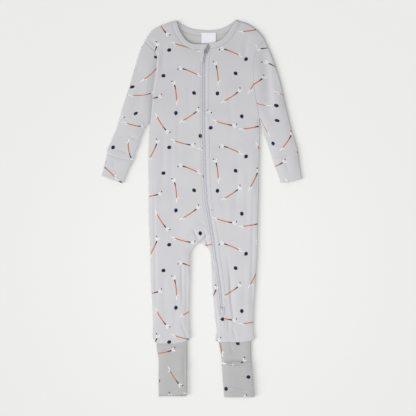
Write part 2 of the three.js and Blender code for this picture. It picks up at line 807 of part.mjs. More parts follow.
// Flap: a flat sheet from its mouth to the toe, then a lip that turns across the tube's end
function footFlap(foot, hem, below) {
  const wall = new ClothWall();
  const shape = footShape(foot, hem, foot.toe + CLOTH);
  const rows = [];
  const placeAt = (u, y) => {
    let above = 0;
    let under = 1;
    for (let k = 0; k < HALVINGS; k += 1) {
      const middle = (above + under) / 2;
      if (shape(u, middle).y > y) above = middle;
      else under = middle;
    }
    return shape(u, (above + under) / 2);
  };
  const stationAt = (x, y) => {
    const z = below ? 0 : frontTop(x, y) + LAYER;
    return { outer: [x, y, z], inner: [x, y, below ? z + CLOTH : z - CLOTH] };
  };
  for (let i = 0; i <= FLAP_ROWS; i += 1) {
    rows.push(Array.from({ length: FOOT_COLUMNS + 1 }, (_, j) => {
      const u = j / FOOT_COLUMNS;
      const mouth = foot.mouth - MOUTH_DIP * Math.sin(Math.PI * u);
      const y = THREE.MathUtils.lerp(mouth, foot.toe + CLOTH, i / FLAP_ROWS);
      return stationAt(placeAt(u, y).x, y);
    }));
  }
  const far = below ? LOFT + LAYER - SEAM_GAP : SEAM_GAP;
  for (const step of lip) {
    rows.push(rows[FLAP_ROWS].map((station) => {
      const [x, , z] = station.outer;
      const zInner = station.inner[2];
      return {
        outer: [x, foot.toe + CLOTH * (1 - step.out), THREE.MathUtils.lerp(z, far, step.reach)],
        inner: [x, foot.toe + CLOTH, THREE.MathUtils.lerp(zInner, far, step.reach)],
      };
    }));
  }
  return wall.addRows(rows, below).geometry();
}

// Neck binding: a flattened band round the neck, open at the zip
function neckBinding() {
  const across = [0, 0.5, 1];
  const reach = 1 - SEAM_GAP / BINDING_WIDTH;
  const front = (neck, seam, cells) => ({ neck: along(neck), seam, cells, height: frontStation });
  const frontLeft = front(frontNeckLeft, seamFrontLeft, LEFT_COLUMNS + STRIP_COLUMNS - SHOULDER_COLUMNS);
  const frontRight = front(frontNeckRight, seamFrontRight, RIGHT_COLUMNS - RIGHT_SHOULDER_COLUMNS);
  const back = { neck: along(backNeck), seam: seamBack, cells: BACK_NECK_COLUMNS, height: backStation };
  const pointAt = (part, distance, w, fromEnd) => {
    const cell = 1 / part.cells;
    const [start, next] = fromEnd ? [1, 1 - cell] : [0, cell];
    const at = (t) => line(part.neck(t), part.seam(t))(w * reach);
    const a = at(start);
    const b = at(next);
    return line(a, b)(distance / Math.hypot(b.x - a.x, b.y - a.y));
  };
  const whole = (part, i) => across.map((w) => {
    const t = i / part.cells;
    const p = line(part.neck(t), part.seam(t))(w * reach);
    return part.height(p.x, p.y);
  });
  // At each end of the neck the band turns from the front layer to the back layer
  const turned = (part, zOuter, zInner, into, fromEnd) => across.map((w) => {
    const outer = pointAt(part, into, w, fromEnd);
    const inner = pointAt(part, into + CLOTH, w, fromEnd);
    return { outer: [outer.x, outer.y, zOuter], inner: [inner.x, inner.y, zInner] };
  });
  const turn = (frontPart, fromEnd) => [
    turned(frontPart, FRONT_AT_SEAM, FRONT_AT_SEAM - CLOTH, EDGE_ROUND, false),
    turned(back, MID_HEIGHT, MID_HEIGHT, 0, fromEnd),
    turned(back, BACK_AT_SEAM, BACK_AT_SEAM + CLOTH, EDGE_ROUND, fromEnd),
  ];
  const columns = [];
  for (let i = frontLeft.cells; i > 0; i -= 1) columns.push(whole(frontLeft, i));
  columns.push(...turn(frontLeft, false));
  for (let i = 1; i < back.cells; i += 1) columns.push(whole(back, i));
  columns.push(...turn(frontRight, true).reverse());
  for (let i = 1; i <= frontRight.cells; i += 1) columns.push(whole(frontRight, i));
  return new ClothWall().addRows(columns).geometry();
}

// Zip: two tapes under the folded panel edges, and the closed coil between them
function zipMiddle(y) {
  if (y >= ZIP_END) return zipAt(Math.min(y, ZIP_TOP)).middle + Math.max(0, y - ZIP_TOP) * ZIP_LEAN;
  return THREE.MathUtils.lerp(zipAt(ZIP_END).middle, SEAM_TOP.x, (ZIP_END - y) / (ZIP_END - SEAM_TOP.y));
}

function band(yTop, yEnd, edges, heights) {
  const rows = Array.from({ length: ZIP_ROWS + 1 }, (_, i) => {
    const y = THREE.MathUtils.lerp(yTop, yEnd, i / ZIP_ROWS);
    return edges(y).map((x) => {
      const [top, under] = heights(x, y);
      return { outer: [x, y, top], inner: [x, y, under] };
    });
  });
  return new ClothWall().addRows(rows).geometry();
}

function underFront(x, y) {
  const top = frontTop(x, y) - LAYER;
  return [top, top - TAPE];
}

// The tape's hidden margin narrows where the panel beside it is a thin strip
function hiddenEdge(middle, y, side) {
  const visible = (zipAt(y).right - zipAt(y).left) / 2;
  let reach = visible + TAPE_HIDDEN;
  while (reach > visible + TAPE_LEAST && edgeDistance(middle + side * reach, y) < TAPE_CLEAR) {
    reach -= TAPE_STEP;
  }
  return middle + side * reach;
}

function zipTape(side) {
  const inner = COIL_HALF + SEAM_GAP;
  return band(TAPE_TOP_Y, TAPE_END_Y, (y) => {
    const middle = zipMiddle(y);
    const ends = [middle + side * inner, hiddenEdge(middle, y, side)];
    return side < 0 ? ends.reverse() : ends;
  }, underFront);
}

function zipCoil() {
  return band(COIL_TOP_Y, COIL_END_Y, (y) => {
    const middle = zipMiddle(y);
    return [middle - COIL_HALF, middle + COIL_HALF];
  }, (x, y) => {
    const top = frontTop(zipMiddle(y), y) - LAYER - TAPE + COIL_THICK;
    return [top, top - COIL_THICK];
  });
}

// Slider and pull tab: plates joined by a post, with a bridge that the tab's eye hangs on
const slider = {
  x: 8.95,
  y: 327,
  lean: -8.4,
  topWidth: 5.6,
  footWidth: 4.4,
  length: 8.4,
  widest: 1.26,
  corner: 1,
  plate: 0.9,
  topZ: 6.1,
  underZ: 2.5,
  underPlate: 0.8,
  postWidth: 2.4,
  postLength: 2.6,
  postInset: 0.4,
  bridgeLength: 5,
  bridgeWidth: 1,
  bridgeThick: 0.8,
  bridgeHole: 1.7,
  bridgeSink: 0.2,
};
const pull = {
  lean: -26,
  length: 15.4,
  eyeWidth: 4.9,
  tipWidth: 3.4,
  thick: 1,
  slotWidth: 2.8,
  slotLength: 3.5,
  slotWall: 1,
  shoulderLength: 2,
  bar: 0.8,
  barMargin: 0.1,
  corner: 1,
  cornerLength: 0.7,
  droop: 1.5,
};

// How far a cut runs past the faces that it opens
const CUT_PAST = 0.5;
const HINGE_Z = slider.topZ + slider.plate + slider.bridgeHole / 2;

function toManifold(geometry) {
  const bare = geometry.clone();
  bare.deleteAttribute("normal");
  bare.deleteAttribute("uv");
  const merged = BufferGeometryUtils.mergeVertices(bare, SAME_PLACE);
  return new wasm.Manifold(new wasm.Mesh({
    numProp: 3,
    vertProperties: new Float32Array(merged.attributes.position.array),
    triVerts: new Uint32Array(merged.index.array),
  }));
}

function fromManifold(solid) {
  const mesh = solid.getMesh();
  const geometry = new THREE.BufferGeometry();
  geometry.setAttribute("position", new THREE.Float32BufferAttribute(mesh.vertProperties, 3));
  geometry.setIndex([...mesh.triVerts]);
  geometry.computeVertexNormals();
  return geometry;
}

function block(wide, long, high, x, y, z) {
  return toManifold(new THREE.BoxGeometry(wide, long, high).translate(x, y, z));
}

function plateGeometry(outline, thick, z) {
  const shape = new THREE.Shape(outline.map(([x, y]) => new THREE.Vector2(x, y)));
  return new THREE.ExtrudeGeometry(shape, { depth: thick, bevelEnabled: false }).translate(0, 0, z);
}

function sliderPlate(thick, z) {
  const halfTop = slider.topWidth / 2;
  const halfFoot = slider.footWidth / 2;
  const half = slider.length / 2;
  return toManifold(plateGeometry([
    [-halfFoot, -half],
    [halfFoot, -half],
    [halfTop, slider.widest],
    [halfTop, half - slider.corner],
    [halfTop - slider.corner, half],
    [-halfTop + slider.corner, half],
    [-halfTop, half - slider.corner],
    [-halfTop, slider.widest],
  ], thick, z));
}

function zipSlider() {
  const plateTop = slider.topZ + slider.plate;
  const holeTop = plateTop + slider.bridgeHole;
  const bridgeHigh = slider.bridgeHole + slider.bridgeThick;
  const postHigh = slider.topZ - slider.underZ;
  const postY = slider.length / 2 - slider.postLength / 2 - slider.postInset;
  const postZ = slider.underZ + postHigh / 2;
  const bridgeZ = plateTop + (bridgeHigh - slider.bridgeSink) / 2;
  const holeLength = slider.bridgeLength - 2 * slider.bridgeThick;
  const holeWidth = slider.bridgeWidth + 2 * CUT_PAST;
  let body = sliderPlate(slider.plate, slider.topZ);
  body = body.add(sliderPlate(slider.underPlate, slider.underZ));
  body = body.add(block(slider.postWidth, slider.postLength, postHigh, 0, postY, postZ));
  body = body.add(block(slider.bridgeWidth, slider.bridgeLength, bridgeHigh + slider.bridgeSink, 0, 0,
    bridgeZ));
  body = body.subtract(block(holeWidth, holeLength, slider.bridgeHole, 0, 0, (plateTop + holeTop) / 2));
  return fromManifold(body);
}

function zipPull() {
  const halfEye = pull.eyeWidth / 2;
  const halfTip = pull.tipWidth / 2;
  const back = pull.bar / 2 + pull.barMargin;
  const eyeEnd = pull.slotLength + pull.slotWall;
  const shoulderEnd = eyeEnd + pull.shoulderLength;
  const end = pull.length - back;
  const body = toManifold(plateGeometry([
    [-halfEye, -back],
    [halfEye, -back],
    [halfEye, eyeEnd],
    [halfTip, shoulderEnd],
    [halfTip, end - pull.cornerLength],
    [halfTip - pull.corner, end],
    [-halfTip + pull.corner, end],
    [-halfTip, end - pull.cornerLength],
    [-halfTip, shoulderEnd],
    [-halfEye, eyeEnd],
  ], pull.thick, -pull.thick / 2));
  const slotStart = pull.bar / 2;
  const slotMiddle = (slotStart + pull.slotLength) / 2;
  const slotHigh = pull.thick + 2 * CUT_PAST;
  const slot = block(pull.slotWidth, pull.slotLength - slotStart, slotHigh, 0, slotMiddle, 0);
  return fromManifold(body.subtract(slot));
}

// Chin guard: a folded tab that covers the top of the zip
const guardRows = table(["y", "left", "right"], [
  [344.2, -2.4, 12.6],
  [338, -2.4, 9.4],
  [332, -2.4, 5.4],
  [324, -2.4, 5],
  [315, -2.3, 3.6],
  [308, -1.6, 2.6],
  [303.6, -0.4, 1.4],
]);

function chinGuard() {
  const rows = guardRows.map((row) => [0, 0.5, 1].map((t) => {
    const x = THREE.MathUtils.lerp(row.left, row.right, t);
    const z = frontTop(x, row.y) + SEAM_GAP;
    return { outer: [x, row.y, z + CLOTH], inner: [x, row.y, z] };
  }));
  return new ClothWall().addRows(rows).geometry();
}

// Label sewn inside the back neck
const label = { left: -0.4, right: 30, top: 369, bottom: 345.6, thick: 1 };

function neckLabel() {
  const rows = [0, 0.25, 0.5, 0.75, 1].map((v) => [0, 0.5, 1].map((u) => {
    const x = THREE.MathUtils.lerp(label.left, label.right, u);
    const y = THREE.MathUtils.lerp(label.top, label.bottom, v);
    const z = backUnder(x, y) + LAYER;
    return { outer: [x, y, z + label.thick], inner: [x, y, z] };
  }));
  return new ClothWall().addRows(rows).geometry();
}

// Finishes
const knit = new THREE.MeshStandardMaterial({ color: 0xcbccce, roughness: 0.92, metalness: 0 });
const rib = new THREE.MeshStandardMaterial({ color: 0xc4c5c8, roughness: 0.92, metalness: 0 });
const tapeCloth = new THREE.MeshStandardMaterial({ color: 0xb9b8c1, roughness: 0.85, metalness: 0 });
const nylon = new THREE.MeshStandardMaterial({ color: 0xb4b3bc, roughness: 0.5, metalness: 0 });
const enamel = new THREE.MeshStandardMaterial({ color: 0x8f8c93, roughness: 0.4, metalness: 0.6 });
const labelCloth = new THREE.MeshStandardMaterial({ color: 0xf1f0f4, roughness: 0.7, metalness: 0 });

const sleepsuit = new THREE.Group();

function place(name, geometry, material) {
  const mesh = new THREE.Mesh(geometry, material);
  mesh.name = name;
  sleepsuit.add(mesh);
  return mesh;
}

place("back_panel", backPanel(), knit);
place("front_left_panel", frontLeftPanel(), knit);
place("front_right_panel", frontRightPanel(), knit);
place("sleeve_left", sleeveLeft(), knit);
place("sleeve_right", sleeveRight(), knit);
place("sleeve_cuff_left", cuff(cuffLeft, true), rib);
place("sleeve_cuff_right", cuff(cuffRight, false), rib);
place("foot_tube_left", footTube(feet.left, hemLeft), rib);
place("foot_tube_right", footTube(feet.right, hemRight), rib);
place("foot_flap_left", footFlap(feet.left, hemLeft, true), rib);
place("foot_flap_right", footFlap(feet.right, hemRight, false), rib);
place("neck_binding", neckBinding(), rib);
place("chin_guard", chinGuard(), rib);
place("neck_label", neckLabel(), labelCloth);
place("zip_tape_left", zipTape(-1), tapeCloth);
place("zip_tape_right", zipTape(1), tapeCloth);
place("zip_coil", zipCoil(), nylon);

const sliderMesh = place("zip_slider", zipSlider(), enamel);
sliderMesh.position.set(slider.x, slider.y, 0);
sliderMesh.rotation.set(0, 0, THREE.MathUtils.degToRad(slider.lean));

const pullMesh = place("zip_pull_tab", zipPull(), enamel);
pullMesh.position.set(slider.x, slider.y, HINGE_Z);
pullMesh.rotation.set(THREE.MathUtils.degToRad(-pull.droop), 0, THREE.MathUtils.degToRad(pull.lean), "ZYX");

export default sleepsuit;
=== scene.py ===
"""Looks of a footed baby sleepsuit laid flat on its back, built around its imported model.

Tables are in millimetres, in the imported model's frame: X across, Y from the feet to the neck, Z up
from the surface. Left and right are the viewer's. Meshes are made in metres.
"""

import logging
import math
from dataclasses import dataclass, field
from enum import Enum
from typing import Callable, Sequence

import bmesh
import bpy
import numpy as np
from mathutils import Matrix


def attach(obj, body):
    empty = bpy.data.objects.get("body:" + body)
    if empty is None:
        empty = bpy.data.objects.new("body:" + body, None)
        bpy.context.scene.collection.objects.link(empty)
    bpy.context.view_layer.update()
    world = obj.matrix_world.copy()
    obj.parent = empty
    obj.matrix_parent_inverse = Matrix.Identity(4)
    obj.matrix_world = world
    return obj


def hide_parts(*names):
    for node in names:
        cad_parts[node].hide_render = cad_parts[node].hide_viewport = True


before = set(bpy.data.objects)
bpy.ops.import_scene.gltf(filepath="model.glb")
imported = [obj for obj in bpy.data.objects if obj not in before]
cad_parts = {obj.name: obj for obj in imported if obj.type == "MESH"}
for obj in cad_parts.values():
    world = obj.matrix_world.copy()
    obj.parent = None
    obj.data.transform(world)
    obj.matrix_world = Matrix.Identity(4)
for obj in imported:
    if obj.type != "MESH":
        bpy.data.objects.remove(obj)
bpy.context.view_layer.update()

MM = 0.001
# Inside faces of printed cloth: plain knit, darker and warmer as painted shade
SHADED_INSIDE_FINISH = "plain_knit_inside_shaded"
LOG = logging.getLogger("sleepsuit")

Edge = Callable[[np.ndarray], np.ndarray]

# Sockets of a Mix node for each type of data: the share, both inputs and the result
MIX_SOCKETS = {"RGBA": (0, 6, 7, 2), "VECTOR": (0, 4, 5, 1)}


class Side(Enum):
    """Side of the garment, as the viewer sees it."""

    LEFT = "left"
    RIGHT = "right"


class Body(Enum):
    """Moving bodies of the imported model."""

    GARMENT = "garment"
    PULL_TAB = "pull_tab"


# Lines and patches in the plane of the garment


def run_along(line: np.ndarray) -> np.ndarray:
    """Length covered at each point of a line, from its first one."""
    steps = np.hypot(*np.diff(line, axis=0).T)
    return np.concatenate([[0.0], np.cumsum(steps)])


def points_at(line: np.ndarray, run: np.ndarray, at: np.ndarray) -> np.ndarray:
    """Points of a line where it has covered the lengths at."""
    return np.stack([np.interp(at, run, line[:, k]) for k in (0, 1)], -1)


def grid_run(places: np.ndarray, axis: int) -> np.ndarray:
    """Length covered at each point of a grid, along its rows or its columns."""
    steps = np.linalg.norm(np.diff(places, axis=axis), axis=-1)
    return np.insert(np.cumsum(steps, axis), 0, 0.0, axis)


def with_height(flat: np.ndarray, z: np.ndarray) -> np.ndarray:
    """Points of the page with a height each."""
    return np.concatenate([flat, z[..., None]], -1)


class Curve:
    """A smooth line through points, measured along its own length."""

    def __init__(self, places: Sequence[Sequence[float]], smooth: bool = True) -> None:
        """Draw the line.

        Args:
            places: points in millimetres.
            smooth: whether the line rounds through the points or runs straight between them.
        """
        corners = np.array(places, float)
        self.places = self._rounded(corners) if smooth else corners
        self.run = run_along(self.places)

    @staticmethod
    def _rounded(corners: np.ndarray, pieces: int = 24) -> np.ndarray:
        """Points of a Catmull-Rom line through the corners."""
        count = len(corners)
        at = np.linspace(0, count - 1, (count - 1) * pieces + 1)
        start = np.minimum(at.astype(int), count - 2)
        t = (at - start)[:, None]
        p0 = corners[np.maximum(start - 1, 0)]
        p1 = corners[start]
        p2 = corners[start + 1]
        p3 = corners[np.minimum(start + 2, count - 1)]
        v0 = (p2 - p0) / 2
        v1 = (p3 - p1) / 2
        return (2 * p1 - 2 * p2 + v0 + v1) * t**3 + (-3 * p1 + 3 * p2 - 2 * v0 - v1) * t**2 + v0 * t + p1

    @property
    def length(self) -> float:
        """Length of the line in millimetres."""
        return float(self.run[-1])

    def __call__(self, t: np.ndarray) -> np.ndarray:
        """Points at shares t of the line's length."""
        return points_at(self.places, self.run, np.clip(t, 0, 1) * self.run[-1])

    def way(self, t: np.ndarray) -> np.ndarray:
        """Unit directions of the line at shares t of its length."""
        reach = 0.002
        ahead = self(np.asarray(t) + reach) - self(np.asarray(t) - reach)
        return ahead / np.linalg.norm(ahead, axis=-1, keepdims=True)


def straight(a: Sequence[float], b: Sequence[float]) -> Edge:
    """A straight edge from a to b."""
    start = np.array(a, float)
    end = np.array(b, float)
    return lambda t: start + (end - start) * np.asarray(t, float)[..., None]


def bowed(a: Sequence[float], b: Sequence[float], sag: float) -> Edge:
    """An edge from a to b whose middle lies sag higher."""
    flat = straight(a, b)
    return lambda t: flat(t) + np.stack([np.zeros_like(t), sag * np.sin(np.pi * np.asarray(t))], -1)


def reverse(edge: Edge) -> Edge:
    """The same edge run the other way."""
    return lambda t: edge(1 - np.asarray(t))


def shifted(edge: Edge, dx: float, dy: float) -> Edge:
    """The edge moved by dx and dy."""
    return lambda t: edge(t) + np.array([dx, dy])


def chain(*parts: tuple[Edge, float]) -> Edge:
    """One edge made of several, each with its share of the cells.

    Args:
        parts: pairs of an edge and its number of cells.

    Returns:
        The joined edge.
    """
    total = sum(cells for _, cells in parts)
    rounding = 1e-9

    def joined(t: np.ndarray) -> np.ndarray:
        done = np.atleast_1d(np.asarray(t, float)) * total
        places = np.zeros(done.shape + (2,))
        start = 0.0
        for edge, cells in parts:
            chosen = done >= start - rounding
            places[chosen] = edge(np.clip((done[chosen] - start) / cells, 0, 1))
            start += cells
        return places

    return joined


def patch(top: Edge, bottom: Edge, left: Edge, right: Edge, columns: int, rows: int,
          pace: float = 1.0, fade: float = 2.5) -> np.ndarray:
    """A four-sided grid between edges: the bow of each side fades quickly towards the middle.

    Args:
        top: edge of the first row, from left to right.
        bottom: edge of the last row, from left to right.
        left: edge of the first column, from top to bottom.
        right: edge of the last column, from top to bottom.
        columns: cells across.
        rows: cells down.
        pace: power by which rows gather near the top.
        fade: power by which a side's bow fades.

    Returns:
        Points of shape (rows + 1, columns + 1, 2).
    """
    u = np.linspace(0, 1, columns + 1)[None, :, None]
    share = np.linspace(0, 1, rows + 1) ** pace
    v = share[:, None, None]
    across = np.linspace(0, 1, columns + 1)
    t = top(across)[None]
    b = bottom(across)[None]
    sides = [(left, (1 - u) ** fade, 0), (right, u**fade, -1)]
    places = (1 - v) * t + v * b
    for side, weight, end in sides:
        ruled = (1 - v) * t[:, end, None] + v * b[:, end, None]
        places = places + weight * (side(share)[:, None] - ruled)
    return places


# The cut of the garment


@dataclass(frozen=True)
class HalfCut:
    """Outline and seam lines of one side of the garment laid flat, in millimetres."""

    neck: tuple
    shoulder: tuple
    underarm: tuple
    hip: tuple
    front_neck: tuple
    binding_way: tuple
    shoulder_line: tuple
    armhole: tuple
    flank: tuple
    leg_outer: tuple
    leg_inner: tuple
    hem: tuple
    sleeve_outer: tuple
    sleeve_inner: tuple
    cuff_outer: tuple
    cuff_inner: tuple
    cuff_end_sag: float
    foot_outer: tuple
    foot_inner: tuple


LEFT_HALF = HalfCut(
    neck=(-53, 394),
    shoulder=(-119.3, 349.8),
    underarm=(-107.8, 183),
    hip=(-107.8, -71.5),
    front_neck=((-47.9, 377.1), (-40.3, 363), (-30.9, 351.6), (-18, 345.4), (5.2, 344.4)),
    binding_way=(-0.95, -0.31),
    shoulder_line=((-109.4, 364.6), (-100.8, 374.3), (-84.8, 382.6)),
    armhole=((-108.6, 341.1), (-97.5, 327), (-93.4, 311), (-96.4, 280), (-101, 240), (-105.4, 205)),
    flank=((-110.5, 137.4), (-111.3, 100), (-110.5, 47), (-110.3, -22)),
    leg_outer=((-107, -102), (-105.4, -163), (-103, -200), (-101.4, -240), (-102.6, -271)),
    leg_inner=((-10.5, -74.2), (-16.5, -80), (-21.6, -88), (-24, -100), (-25.4, -150), (-26.6, -190),
               (-26.2, -240), (-24.2, -272)),
    hem=((-102.6, -271), (-94.6, -283.2), (-75, -283.4), (-56.5, -283.2), (-42, -280.8), (-31, -277.4),
         (-24.2, -272)),
    sleeve_outer=((-126.8, 334), (-132.5, 319.5), (-140, 293.5), (-148.5, 264.5), (-156.5, 238),
                  (-165, 212), (-173.5, 181), (-181, 160), (-189.6, 139.3), (-197.2, 124),
                  (-197.8, 114.6)),
    sleeve_inner=((-108.1, 183), (-120.5, 167), (-127.5, 149), (-133, 132), (-140, 116), (-143.4, 101)),
    cuff_outer=((-197.8, 114.6), (-200.8, 99), (-205.8, 81), (-209.6, 68.6)),
    cuff_inner=((-143.4, 101), (-153.4, 83.4), (-160.4, 66.4), (-165.2, 52.6)),
    cuff_end_sag=-0.6,
    foot_outer=((-93.4, -298), (-90, -318), (-90.2, -350), (-90, -392.6)),
    foot_inner=((-30.4, -298), (-30.6, -318), (-30.9, -350), (-31, -392.6)),
)
RIGHT_HALF = HalfCut(
    neck=(71, 395),
    shoulder=(132.1, 353.1),
    underarm=(120.8, 189),
    hip=(116.4, -71.5),
    front_neck=((66.5, 387), (60.1, 376.6), (53.3, 366.4), (44.1, 356.3), (30, 349.2), (14.8, 345.6)),
    binding_way=(0.93, -0.36),
    shoulder_line=((121.2, 367.4), (109.2, 378), (94.3, 386.7)),
    armhole=((119.4, 338.5), (111.6, 317), (108.8, 290), (109, 264), (112.2, 238), (117.4, 211)),
    flank=((121, 148), (119.7, 87), (118.7, 26), (117.6, -22)),
    leg_outer=((115.5, -102), (112.4, -154), (109.4, -195), (107.6, -248), (110.4, -274)),
    leg_inner=((1.8, -74.2), (8.6, -78.6), (15, -85), (18.6, -95), (20.4, -112), (22.7, -162),
               (25.2, -192), (28.4, -232), (32.2, -256), (28.6, -275)),
    hem=((28.6, -275), (36, -280.6), (55.2, -280.8), (82, -280.2), (102.5, -278), (110.4, -274)),
    sleeve_outer=((140.7, 334.2), (148.4, 315.5), (157, 291), (163.4, 270), (169.5, 245), (174.4, 222),
                  (180, 199), (184.6, 179), (190.2, 159), (197, 136), (201.6, 120.6)),
    sleeve_inner=((121.1, 189), (126.8, 167), (134.6, 145), (141.3, 125.3), (146.8, 107)),
    cuff_outer=((201.6, 120.6), (203.4, 103), (206.6, 80), (209.8, 62)),
    cuff_inner=((146.8, 107), (155.8, 81.4), (162.6, 62.8), (164.8, 53.4)),
    cuff_end_sag=-2,
    foot_outer=((103.2, -298), (104, -318), (106.8, -350), (110.4, -395.2)),
    foot_inner=((38.6, -298), (42, -318), (44, -355), (47.4, -395.2)),
)


@dataclass(frozen=True)
class Outline:
    """Both sides of the cut, and the lines that belong to neither, in millimetres.

    Each row of zip_edges has a height on the page, then X of the fold on either side of the zip.
    """

    left: HalfCut = LEFT_HALF
    right: HalfCut = RIGHT_HALF
    crotch: tuple = (-4.6, -71.5)
    back_neck: tuple = ((-35.7, 382.5), (-19.7, 376.4), (0, 373.8), (22, 373.7), (41.2, 377.5),
                        (58.2, 385.9))
    zip_edges: tuple = ((333.6, 5.2, 14.6), (320, 3.4, 12.4), (305, 1.2, 11.2), (260, 0.6, 11.1),
                        (186, 0.6, 11.1), (110, 2.2, 12.6), (55, 3.8, 14.4), (15, 6.2, 17.4),
                        (-22, 13, 23.6), (-62, 19.6, 30.4), (-102, 24.4, 35.2), (-130, 29.4, 39.8),
                        (-160, 34.4, 43.8), (-190, 37.2, 46.2), (-206, 38.8, 47.4))
    zip_top: float = 333
    zip_end: float = -206
    zip_lean: float = 0.12
    seam_top: tuple = (43.6, -213)
    seam_foot: tuple = (55.2, -280.8)
    cuff_sag: float = -3
    mouth: float = -320
    mouth_dip: float = 6
    binding: float = 11
    binding_turn: float = 0.2
    seam_gap: float = 0.05

    def half(self, side: Side) -> HalfCut:
        """The lines of one side."""
        return self.left if side is Side.LEFT else self.right

    def armhole(self, side: Side) -> Curve:
        """Armhole seam from the shoulder point down to the underarm."""
        half = self.half(side)
        return Curve([half.shoulder, *half.armhole, half.underarm])

    def flank(self, side: Side) -> Curve:
        """Side seam from the underarm to the hip."""
        half = self.half(side)
        return Curve([half.underarm, *half.flank, half.hip])

    def leg_outer(self, side: Side) -> Curve:
        """Outer leg seam from the hip to the hem."""
        half = self.half(side)
        return Curve([half.hip, *half.leg_outer])

    def leg_inner(self, side: Side) -> Curve:
        """Inner leg seam from the crotch to the hem."""
        return Curve([self.crotch, *self.half(side).leg_inner])

    def sleeve_outer(self, side: Side) -> Curve:
        """Outer edge of a sleeve."""
        half = self.half(side)
        return Curve([half.shoulder, *half.sleeve_outer])

    def sleeve_inner(self, side: Side) -> Curve:
        """Inner edge of a sleeve."""
        return Curve(self.half(side).sleeve_inner)

    def cuff(self, side: Side) -> tuple[Curve, Curve]:
        """Outer and inner edge of a sleeve cuff."""
        half = self.half(side)
        return Curve(half.cuff_outer), Curve(half.cuff_inner)

    def cuff_seam(self, side: Side) -> Edge:
        """Seam between a sleeve and its cuff, from the outer to the inner edge."""
        outer, inner = self.cuff(side)
        return bowed(outer(np.zeros(1))[0], inner(np.zeros(1))[0], self.cuff_sag)

    def foot(self, side: Side) -> tuple[Curve, Curve]:
        """Left and right edge of a foot, from the hem down to the toe."""
        half = self.half(side)
        edges = (half.foot_outer, half.foot_inner)
        if side is Side.RIGHT:
            edges = edges[::-1]
        starts = [(x, y - self.seam_gap) for x, y in (half.hem[1], half.hem[-2])]
        return Curve([starts[0], *edges[0]]), Curve([starts[1], *edges[1]])

    def toe(self, side: Side) -> float:
        """Height of a foot's toe fold on the page."""
        return self.half(side).foot_outer[-1][1]

    def front_neck(self, side: Side) -> Curve:
        """Front neckline from the neck point to the zip."""
        half = self.half(side)
        return Curve([half.neck, *half.front_neck])

    def neck_behind(self) -> Curve:
        """Back neckline from the left neck point to the right one."""
        return Curve([self.left.neck, *self.back_neck, self.right.neck])

    def binding_seam(self, neck: Curve, start_way: tuple, end_way: tuple | None = None) -> Edge:
        """The neckline moved out by the binding's width.

        Args:
            neck: the neckline.
            start_way: direction of the binding at its first point.
            end_way: direction at its last point, where it also meets a shoulder.

        Returns:
            The seam between the binding and the panel.
        """
        def seam(t: np.ndarray) -> np.ndarray:
            t = np.atleast_1d(np.asarray(t, float))
            way = neck.way(t)
            out = np.stack([way[:, 1], -way[:, 0]], -1)
            out[out[:, 1] > 0] *= -1
            for wanted, share in ((start_way, t), (end_way, 1 - t)):
                if wanted is not None:
                    pull = np.maximum(0, 1 - share / self.binding_turn)[:, None]
                    out = out * (1 - pull) + np.array(wanted) * pull
            out /= np.linalg.norm(out, axis=-1, keepdims=True)
            return neck(t) + self.binding * out

        return seam

    def front_seam(self, side: Side) -> Edge:
        """Seam below the binding on one side of the front."""
        return self.binding_seam(self.front_neck(side), self.half(side).binding_way)

    def back_seam(self) -> Edge:
        """Seam below the binding on the back."""
        return self.binding_seam(self.neck_behind(), self.left.binding_way, self.right.binding_way)

    def shoulder(self, side: Side) -> Curve:
        """Shoulder seam from the shoulder point to the binding."""
        half = self.half(side)
        return Curve([half.shoulder, *half.shoulder_line, self.front_seam(side)(np.zeros(1))[0]])

    def zip_side(self, y: np.ndarray, side: Side) -> np.ndarray:
        """X of one folded edge beside the zip, at each y."""
        rows = np.array(self.zip_edges)[::-1]
        return np.interp(y, rows[:, 0], rows[:, 1 if side is Side.LEFT else 2])

    def zip_middle(self, y: np.ndarray) -> np.ndarray:
        """X of the middle of the zip, at each y."""
        y = np.asarray(y, float)
        inside = np.clip(y, self.zip_end, self.zip_top)
        middle = (self.zip_side(inside, Side.LEFT) + self.zip_side(inside, Side.RIGHT)) / 2
        below = np.clip((self.zip_end - y) / (self.zip_end - self.seam_top[1]), 0, None)
        above = np.maximum(0, y - self.zip_top) * self.zip_lean
        return middle + above + below * (self.seam_top[0] - middle)

    def closed_edges(self, points: int = 60) -> list[np.ndarray]:
        """Lines where the front and the back come together, with some points in each part."""
        t = np.linspace(0, 1, points)
        lines = []
        for side in Side:
            half = self.half(side)
            feet = self.foot(side)
            hems = (half.hem[1], half.hem[-2])
            if side is Side.RIGHT:
                feet = feet[::-1]
                hems = hems[::-1]
            cuff_outer, cuff_inner = self.cuff(side)
            over = [[half.neck], self.shoulder(side)(1 - t), self.sleeve_outer(side)(t), cuff_outer(t)]
            under = [cuff_inner(1 - t), self.sleeve_inner(side)(1 - t), self.flank(side)(t),
                     self.leg_outer(side)(t), [hems[0]], feet[0](t)]
            between = [self.leg_inner(side)(t), [hems[1]], feet[1](t)]
            lines += [np.concatenate(parts) for parts in (over, under, between)]
        return lines


# How the cloth lies


def distance_to(lines: Sequence[np.ndarray], x: np.ndarray, y: np.ndarray, spacing: float) -> np.ndarray:
    """Distance from points to the nearest of some lines.

    Args:
        lines: each a run of points.
        x: X of the points.
        y: Y of the points.
        spacing: lines are followed in steps of about this length.

    Returns:
        Distances, shaped as x.
    """
    nothing = 1e-12
    least = np.full(x.shape, np.inf)
    for line in lines:
        run = run_along(line)
        count = max(2, int(run[-1] / spacing) + 1)
        places = points_at(line, run, np.linspace(0, run[-1], count))
        for a, b in zip(places[:-1], places[1:]):
            d = b - a
            square = float(d @ d)
            if square < nothing:
                continue
            share = np.clip(((x - a[0]) * d[0] + (y - a[1]) * d[1]) / square, 0, 1)
            gap = np.hypot(x - a[0] - share * d[0], y - a[1] - share * d[1])
            np.minimum(least, gap, out=least)
    return least


